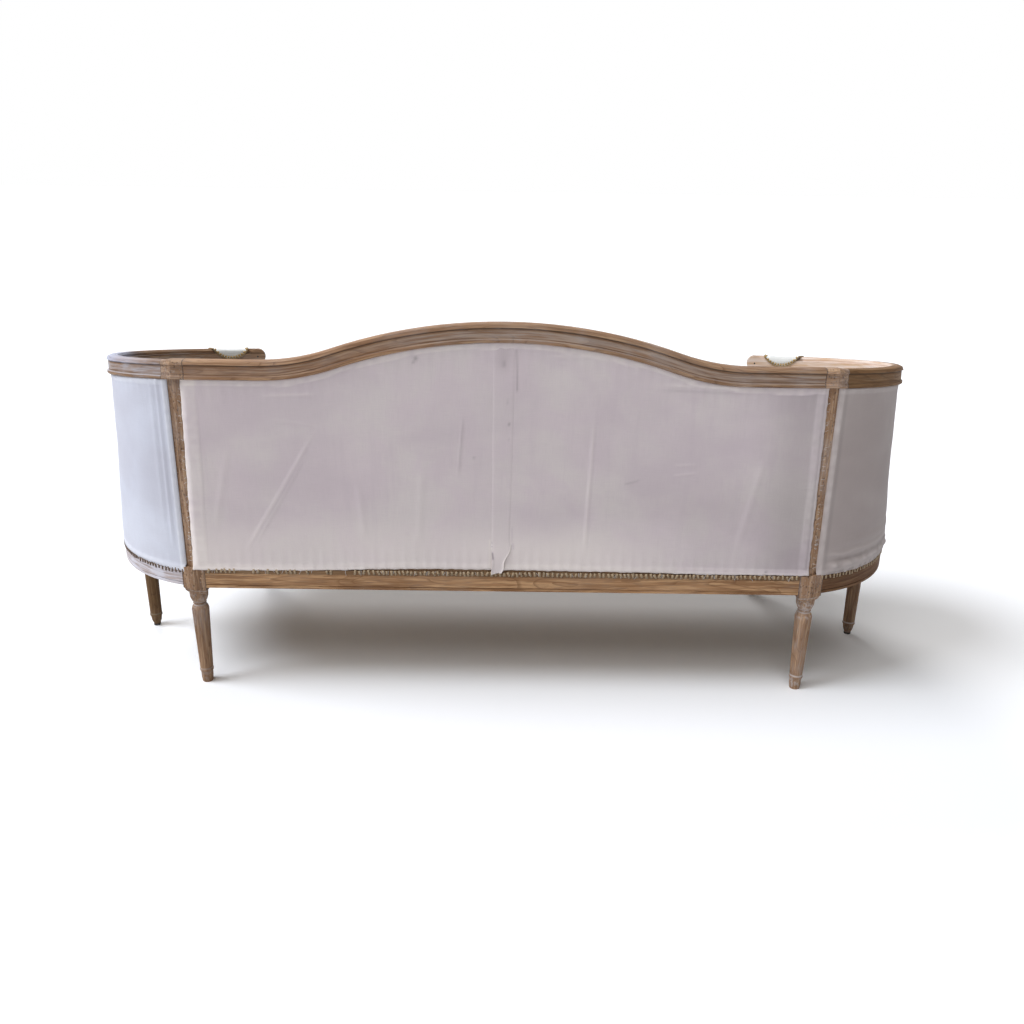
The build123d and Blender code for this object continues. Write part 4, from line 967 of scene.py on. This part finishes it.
def seat():
    """The seat: rings up its edge, and a domed top filled with an even spread of points."""
    tall = SEAT_CROWN - SEAT_FOOT
    rings = [seat_edge(inset) for level, inset in SEAT_PROFILE]
    count = len(rings[0])
    verts = []
    for ring, (level, inset) in zip(rings, SEAT_PROFILE):
        verts += [(x, y, SEAT_FOOT + level * tall) for x, y in ring]
    last = len(verts) - count
    inner = rings[-1]
    ahead = np.roll(inner, -1, axis=0)
    plan = [Vector(point) for point in inner]
    for x in np.arange(-0.96, 0.961, 0.024):
        for y in np.arange(-0.30, 0.25, 0.024):
            crossing = (inner[:, 1] > y) != (ahead[:, 1] > y)
            slope = (ahead[:, 0] - inner[:, 0]) / np.where(crossing, ahead[:, 1] - inner[:, 1], 1.0)
            within = np.sum(crossing & (x < inner[:, 0] + slope * (y - inner[:, 1]))) % 2
            away = np.min(np.hypot(inner[:, 0] - x, inner[:, 1] - y))
            if within and away > 0.012:
                plan.append(Vector((x, y)))
                level = SEAT_PROFILE[-1][0] + 0.046 * math.sin(min(1.0, away / 0.15) * math.pi / 2)
                verts.append((x, y, SEAT_FOOT + level * tall))
    outline = [(k, (k + 1) % count) for k in range(count)]
    filled = geometry.delaunay_2d_cdt(plan, outline, [], 1, 1e-6)
    flat = [(x, y + (z if y < -0.3 else 0.0), z) for x, y, z in verts]
    verts = np.array(verts)
    soft = field(verts * np.array((1.0, 1.0, 0.3)), 5.0, 1.0)
    fine = field(verts * np.array((1.0, 1.0, 0.3)), 17.0, 6.0)
    verts[:, 2] += step(verts[:, 2], 0.425, 0.4375) * (0.0018 * soft + 0.0012 * fine - 0.0014)
    wall = (verts[:, 1] < -0.30) & (verts[:, 2] < 0.42)
    verts[wall, 1] += 0.0018 * soft[wall] + 0.0008 * fine[wall]
    origin = [sources[0] for sources in filled[3]]
    faces = ring_faces(len(rings), count)
    faces += [tuple(last + origin[k] for k in face) for face in filled[2]]
    faces.append(tuple(reversed(range(count))))
    made = new_object("seat_cover", verts, faces, LINEN, flat)
    carry(made, "seat_pad")


def front_border():
    """The strip of cover under the front of the seat."""
    columns, rows = 241, 11
    X, Z = crossed(np.linspace(-INSIDE_HALF, INSIDE_HALF, columns), np.linspace(CLOTH_LINE, SEAT_FOOT, rows))
    Y = -(CLOTH_FACE + 0.0012 + 0.0005 * field(joined(X, 2.0, Z), 30.0))
    made = new_object("seat_front_border", joined(X, Y, Z), grid_faces(columns, rows), LINEN, joined(X, Z, Y))
    return carry(made, "seat_front_band")


inside_back()
for hand in HANDS:
    inside_end(hand)
seat()
border = front_border()
border_area = thicken(border)


# Rounded trims swept along a path
def sweep(name, path, sections, material):
    """Loft a closed section, a list of points for each station of the path."""
    path, sections = np.array(path), np.array(sections)
    rows, columns = sections.shape[:2]
    run = np.cumsum(np.linalg.norm(np.diff(path, axis=0, prepend=path[:1]), axis=1))
    around = np.cumsum(np.linalg.norm(np.diff(sections, axis=1, prepend=sections[:, :1]), axis=2), axis=1)
    return new_object(name, sections, closed_faces(rows, columns), material, joined(run[:, None], around, 0.0))


def rail_stations():
    """Stations along the top rail from the left arm to the right one: face point, outward, up and pad edge."""
    left = []
    reach = END_PAD_FACE - 0.0140
    pad_y = BACK_PAD_FACE - 0.016
    for k in range(70):
        a = ROLL_END + (ROLL_POST - ROLL_END) * k / 69
        face = ring_point(a, 0.0, 0.0)
        turn = math.atan2(face.x - END_X, face.y)
        z = float(under_ring(END_PAD_FACE * math.cos(turn), 0.0015)) - 0.006
        foot = Vector((END_X + reach * math.sin(turn), reach * math.cos(turn), z))
        left.append((face, ring_out(a), RING_UP.copy(), foot))
    last = left[69]
    for k in range(1, 11):
        share = k / 10
        x = last[0].x + (ROLL_CORNER - last[0].x) * share
        turn = min(1.0, (last[0].x - x) / (last[0].x - LEG_X))
        face = last[0].lerp(Vector((x, TOP_FACE, float(crest_height(x)))), turn)
        face.x = x
        outward = last[1].lerp(Vector((0, 1, 0)), turn).normalized()
        up = RING_UP.lerp(Vector((0, 0, 1)), turn).normalized()
        left.append((face, outward, up, last[3].lerp(Vector((ROLL_CORNER, pad_y, last[3].z)), share)))
    middle = []
    for k in range(1, 160):
        x = ROLL_CORNER - 2 * ROLL_CORNER * k / 160
        z = float(crest_height(x))
        foot = Vector((x, pad_y, z - 0.030))
        middle.append((Vector((x, TOP_FACE, z)), Vector((0, 1, 0)), Vector((0, 0, 1)), foot))
    flip = Vector((-1, 1, 1))
    right = [tuple(v * flip for v in station) for station in reversed(left)]
    return left + middle + right


def edge_roll():
    """The roll at the inside edge of the top rail, drawn in towards the arms and full at the rear corners."""
    stations = rail_stations()
    sections, path = [], []
    run = 0.0
    inner = -RAIL_D
    for i, (face, outward, up, foot) in enumerate(stations):
        if i:
            run += (face - stations[i - 1][0]).length
        wave = 0.0007 * math.sin(run * 2 * math.pi / 0.034) + 0.0005 * wobble(run, 1.0, 0.0, 30.0)
        reach = (foot - face).dot(outward)
        drop = (foot - face).dot(up)
        along = min(i, len(stations) - 1 - i)
        draw = float(fade(along, 38.0, 66.0))
        sink = float(fade(along, 14.0, 42.0)) * 0.0385
        corner = float(fade(abs(along - 74.0), 4.0, 9.0))
        bulge = max(0.004, min(0.010 + 0.022 * corner, inner - reach))
        lift = 0.5 * wave * (1 - draw)
        # Each point: out from the face, least height over the foot, height under the top, and lift
        profile = (
            (reach, 0.0, drop, 0.0),
            (inner - bulge - 0.001 - wave, 0.002, 0.5 * drop - 0.014 - 0.5 * sink, 0.0),
            (inner - bulge - wave, 0.004, -0.0190 - sink, 0.0),
            (inner - 0.7 * bulge - wave, 0.006, -0.0125 - sink, 0.0),
            (inner - 0.2 * bulge - 0.0010 * draw, 0.008, -0.0080 - sink, lift),
            (inner + 0.0045 - 0.0062 * draw, 0.009, -0.0062 - sink, lift),
            (inner + 0.0105 - 0.0120 * draw, 0.008, -0.0066 - sink, 0.0),
            (-SHOW - 0.0012 - 0.0150 * draw, 0.007, -0.0088 - sink, 0.0),
            (-SHOW - 0.0006 - 0.0153 * draw, 0.006, -0.0106 - sink, 0.0),
            (inner + 0.0010 - 0.0017 * draw, 0.005, -0.0106 - sink, 0.0),
            (inner - 0.0006, 0.0045, -0.0120 - sink, 0.0),
            (inner - 0.0006, 0.0040, 0.6 * drop - 0.006, 0.0),
            (0.5 * (reach + inner), 0.002, drop, 0.0),
        )
        section = []
        for out, least, high, extra in profile:
            section.append(tuple(face + outward * out + up * (max(drop + least, high) + extra)))
        sections.append(section)
        path.append(tuple(face))
    carry(sweep("inside_edge_roll", path, sections, LINEN))


def tube(points, radius, sides=8, hints=None, bump=0.0, pitch=0.006, taper=0):
    """Sections of a round cord along a line of points."""
    sections = []
    run = 0.0
    points = [Vector(point) for point in points]
    for i, here in enumerate(points):
        before, after = points[max(0, i - 1)], points[min(len(points) - 1, i + 1)]
        along = (after - before).normalized()
        if i:
            run += (here - points[i - 1]).length
        across = along.cross(Vector(hints[i]) if hints else Vector((0, 0, 1))).normalized()
        rise = across.cross(along)
        size = radius * (1 + bump * math.sin(run * 2 * math.pi / pitch))
        if taper:
            size *= min(1.0, (i + 0.4) / taper, (len(points) - 0.6 - i) / taper)
        turns = [2 * math.pi * k / sides for k in range(sides)]
        sections.append([tuple(here + size * (math.cos(t) * across + math.sin(t) * rise)) for t in turns])
    return sections


def welt():
    """Covered cord in the rebate beside the show wood, and one along the front of the seat."""
    kept = rail_stations()[56:-56]
    points = [tuple(face + outward * (-SHOW - 0.0030) + up * -0.0066) for face, outward, up, foot in kept]
    carry(sweep("inside_edge_welt", points, tube(points, 0.0026, taper=8), LINEN))
    front = [(x, y, 0.4120) for x, y in seat_edge(0.0052) if y < -0.255 and x >= 0]
    front = [(-x, y, z) for x, y, z in reversed(front[1:])] + front
    carry(sweep("seat_front_welt", front, tube(front, 0.0036, taper=4), LINEN))


edge_roll()
welt()

# Arm pads and their trimming
PAD_MIDDLE, PAD_LENGTH, PAD_DIP = 153.4, 0.104, 0.027
PAD_GAP = 0.0006
PAD_R = ((PAD_LENGTH / 2) ** 2 + PAD_DIP ** 2) / (2 * PAD_DIP)
PAD_LIMIT = math.sqrt((PAD_R - PAD_GAP) ** 2 - (PAD_R - PAD_DIP) ** 2) - 0.0008
TRIM_LIMIT = PAD_LIMIT + 0.0012


def pad_floor(run):
    """Depth of the curved seat under the arm's top, at a run from the pad's middle."""
    return float(PAD_R - PAD_DIP - np.sqrt(np.maximum((PAD_R - PAD_GAP) ** 2 - run ** 2, 0.0)))


def pad_angle(run):
    return PAD_MIDDLE + math.degrees(run / (RING - RAIL_D / 2))


def arm_pad(hand):
    side = HANDS[hand]
    columns, rows = 65, 33
    top, bottom, flat = [], [], []
    for run in np.sin(np.linspace(-0.5, 0.5, columns) * math.pi) * PAD_LIMIT:
        deep = pad_floor(run)
        share = run / PAD_LIMIT
        for w in np.linspace(-1.0, 1.0, rows):
            out = -RAIL_D / 2 + w * (RAIL_D / 2 + 0.0030 * (1 - share ** 4))
            crown = 0.0016 - 0.0040 * (1 - share ** 2) * (1 - 0.3 * w * w) - 0.0045 * abs(w) ** 5
            crown += 0.0006 * wobble(run * 3, w * 0.1, side, 25.0)
            ends = math.sqrt(max(0.0, 1 - share ** 6))
            p = ring_point(pad_angle(run), out, deep + max(0.0, crown - deep) * ends)
            q = ring_point(pad_angle(run), out, deep)
            top.append((side * p.x, p.y, p.z))
            bottom.append((side * q.x, q.y, q.z))
            flat.append((run, w * 0.03, 0.0))
    front, under, flat = (np.array(a).reshape(columns, rows, 3) for a in (top, bottom, flat))
    if side < 0:
        front, under, flat = front[::-1], under[::-1], flat[::-1]
    made = closed_pad("arm_pad_cover_" + hand, front, under, PAD_LINEN, flat)
    carry(made, "arm_pad_" + hand)


def ball(center, radius, flatten, axis):
    """Low-domed nail head facing along an axis."""
    axis = Vector(axis).normalized()
    across = axis.cross(Vector((0, 0, 1)) if abs(axis.z) < 0.9 else Vector((1, 0, 0))).normalized()
    rise = across.cross(axis)
    verts = []
    for high, wide in ((0.0, 1.0), (0.45, 0.88), (0.80, 0.58), (0.97, 0.22)):
        for t in (2 * math.pi * k / 8 for k in range(8)):
            edge = radius * wide * (math.cos(t) * across + math.sin(t) * rise)
            verts.append(tuple(center + edge + axis * radius * flatten * high))
    return verts, closed_faces(4, 8)


def gather(name, parts, material):
    """One object from many small closed pieces."""
    verts, faces = [], []
    for part_verts, part_faces in parts:
        base = len(verts)
        verts += part_verts
        faces += [tuple(base + k for k in face) for face in part_faces]
    return new_object(name, verts, faces, material)


def arm_trim(hand):
    """The gimp round an arm pad, its nails, and low dark domes at the rounded end of the arm, painted shade
    standing for the eye holes there.
    """
    flip = Vector((HANDS[hand], 1, 1))
    loop, hints, nails, eye_shades = [], [], [], []

    def place(run, out, extra):
        deep = pad_floor(max(-PAD_LIMIT, min(PAD_LIMIT, run))) + extra
        a = pad_angle(run)
        return ring_point(a, out, deep) * flip, ring_out(a) * flip

    inner, outer = -RAIL_D - 0.0022, 0.0022
    for out, far, order in ((inner, outer, 1), (outer, inner, -1)):
        for k in range(41):
            where, outward = place(order * (-TRIM_LIMIT + 2 * TRIM_LIMIT * k / 40), out, -0.0012)
            loop.append(tuple(where))
            hints.append(tuple(outward))
        for k in range(1, 9):
            where, _ = place(order * TRIM_LIMIT, out + (far - out) * k / 9, 0.0020)
            loop.append(tuple(where))
            hints.append(tuple(RING_UP))
    loop.append(loop[0])
    hints.append(hints[0])
    carry(sweep("arm_gimp_" + hand, loop, tube(loop, 0.0021, 6, hints, 0.28, 0.0052), GIMP))
    for out, sign in ((-RAIL_D - 0.0030, -1), (0.0030, 1)):
        for k in range(13):
            where, outward = place(TRIM_LIMIT * 0.93 * (2 * k / 12 - 1), out, 0.0034)
            nails.append(ball(where, 0.0030, 0.7, outward * sign))
    carry(gather("arm_nails_" + hand, nails, BRASS))
    # Painted shade: low dark domes stand for the holes in the arm's rounded end
    for out, sign in ((-RAIL_D + 0.0008, -1), (-0.0024, 1)):
        where = ring_point(ARM_END, out, -RAIL_H / 2) * flip
        eye_shades.append(ball(where, 0.0034, 0.3, ring_out(ARM_END) * flip * sign))
    carry(gather("arm_eye_shades_" + hand, eye_shades, GLIDE_AND_HOLE_SHADE))


for hand in HANDS:
    arm_pad(hand)
    arm_trim(hand)


# Staples along the lower edges of the cloths, and loose threads
STAPLE_SEED, THREAD_SEED = 11, 5


def block(center, along, out, size, turn):
    """Small staple: a bar with its length mostly upright."""
    up, a, deep = Vector((0, 0, 1)), Vector(along), Vector(out)
    long = math.cos(turn) * up + math.sin(turn) * a
    wide = math.cos(turn) * a - math.sin(turn) * up
    w, d, h = size
    verts = []
    for sz in (-1, 1):
        for sx, sy in ((-1, 0), (1, 0), (0.45, 1), (-0.45, 1)):
            verts.append(tuple(Vector(center) + wide * sx * w / 2 + deep * sy * d + long * sz * h / 2))
    faces = [(0, 3, 2, 1), (4, 5, 6, 7), (0, 1, 5, 4), (1, 2, 6, 5), (2, 3, 7, 6), (3, 0, 4, 7)]
    return verts, faces


def staples():
    random.seed(STAPLE_SEED)
    back_row, left_row, right_row = [], [], []
    reach = END_R + 0.0002
    x = -INSIDE_HALF
    while x < INSIDE_HALF:
        if x < 0.36 or random.random() < 0.35:
            size = (0.0058 + 0.0020 * random.random(), 0.0022, 0.0095 + 0.003 * random.random())
            center = (x, reach, CLOTH_LINE - 0.0050 + 0.002 * random.random())
            back_row.append(block(center, (1, 0, 0), (0, 1, 0), size, random.uniform(-0.5, 0.5)))
        x += 0.0108 + 0.0018 * random.uniform(-1, 1)
    for side, row, drop in ((1.0, left_row, 0.0130), (-1.0, right_row, 0.0075)):
        angle = 16.8
        while angle < 158.0:
            if not 84.0 < angle < 96.0:
                a = math.radians(angle)
                out = (side * math.sin(a), math.cos(a), 0)
                along = (math.cos(a), -side * math.sin(a), 0)
                size = (0.0042 + 0.0018 * random.random(), 0.0018, 0.0095 + 0.003 * random.random())
                z = CLOTH_LINE - drop + 0.002 * random.random()
                center = (side * (END_X + reach * math.sin(a)), reach * math.cos(a), z)
                row.append(block(center, along, out, size, random.uniform(-0.35, 0.35)))
            angle += 1.80 + 0.3 * random.uniform(-1, 1)
    carry(gather("back_staples", back_row, STAPLE_PALE))
    carry(gather("left_staples", left_row, STAPLE_DARK))
    carry(gather("right_staples", right_row, STAPLE_PALE))


def threads():
    """Loose threads at the raw edges of the outer back cloth."""
    random.seed(THREAD_SEED)
    parts = []

    def strand(start, lean, length):
        points = []
        here = Vector(start)
        for k in range(5):
            points.append(tuple(here))
            stray = Vector((random.uniform(-1, 1), random.uniform(0, 0.4), random.uniform(-1, 1)))
            here = here + Vector(lean) * length / 4 + stray * 0.0012
        sections = tube(points, 0.00042, 3, [(0, 1, 0.2)] * 5)
        parts.append(([q for section in sections for q in section], closed_faces(5, 3)))

    for k in range(70):
        x = random.uniform(-0.74, 0.74)
        lean = (random.uniform(-0.6, 0.6), 0.05, -1.0)
        strand((x, 0.3462, CLOTH_LINE + 0.001), lean, random.uniform(0.004, 0.012))
    for k in range(34):
        z = random.uniform(0.34, 0.77)
        edge = 0.7535 - 0.015 * (z - CLOTH_LINE) / 0.465
        for sign in (1, -1):
            lean = (sign * 1.0, 0.02, random.uniform(-0.8, 0.8))
            strand((sign * edge, 0.3400, z), lean, random.uniform(0.003, 0.008))
    carry(gather("loose_threads", parts, THREAD))


staples()
threads()


# Camera fitted to the photo
def fitted_camera():
    yaw, pitch, roll = math.radians(-0.217), math.radians(19.534), math.radians(-0.828)
    forward = Vector((math.sin(yaw) * math.cos(pitch), -math.cos(yaw) * math.cos(pitch), -math.sin(pitch)))
    right = forward.cross(Vector((0.0, 0.0, 1.0))).normalized()
    down = forward.cross(right)
    across = math.cos(roll) * right + math.sin(roll) * down
    below = -math.sin(roll) * right + math.cos(roll) * down
    data = bpy.data.cameras.new("photo_view")
    sensor, focal_pixels, photo_pixels = 36.0, 943.5, 1024
    data.sensor_width = sensor
    data.lens = focal_pixels / photo_pixels * sensor
    data.clip_end = 200.0
    camera = bpy.data.objects.new("photo_view", data)
    turn = Matrix((across, -below, -forward)).transposed()
    camera.matrix_world = Matrix.Translation((-0.0125, 2.4572, 1.2294)) @ turn.to_4x4()
    scene.collection.objects.link(camera)
    scene.camera = camera


# Floor, light and background
def stage():
    size = 80.0
    corners = [(-size, -size, 0), (size, -size, 0), (size, size, 0), (-size, size, 0)]
    mesh = bpy.data.meshes.new("studio_floor")
    mesh.from_pydata(corners, [], [(0, 1, 2, 3)])
    floor = bpy.data.objects.new("studio_floor", mesh)
    scene.collection.objects.link(floor)
    t = new_tree("pale_floor")
    color = t.mix(t.seen(), (0.69, 0.70, 0.72), (1.04, 1.04, 1.05))
    mesh.materials.append(t.surface(t.node("BsdfDiffuse", {"Color": color})["BSDF"]))
    t = Tree(bpy.data.worlds.new("studio"))
    soft = t.node("Background", {"Color": (1.0, 0.985, 0.975), "Strength": 0.13})[0]
    white = t.node("Background", {"Color": (1.0, 1.0, 1.0)})[0]
    both = t.node("MixShader", {"Fac": t.seen(), 1: soft, 2: white})[0]
    scene.world = t.surface(both, "OutputWorld")


def sun(name, strength, color, towards, angle):
    data = bpy.data.lights.new(name, "SUN")
    data.energy = strength
    data.color = color
    data.angle = math.radians(angle)
    lamp = bpy.data.objects.new(name, data)
    lamp.rotation_euler = Vector(towards).to_track_quat("-Z", "Y").to_euler()
    scene.collection.objects.link(lamp)


fitted_camera()
stage()
sun("key_light", 2.55, (0.93, 0.98, 1.05), (-0.80, -0.10, -0.92), 34.0)
sun("back_fill", 0.9, (1.0, 0.985, 0.97), (-0.35, -0.75, -1.20), 45.0)
sun("front_fill", 1.1, (1.0, 1.0, 1.0), (-0.50, 1.0, -1.0), 26.0)
scene.view_settings.view_transform = "Standard"
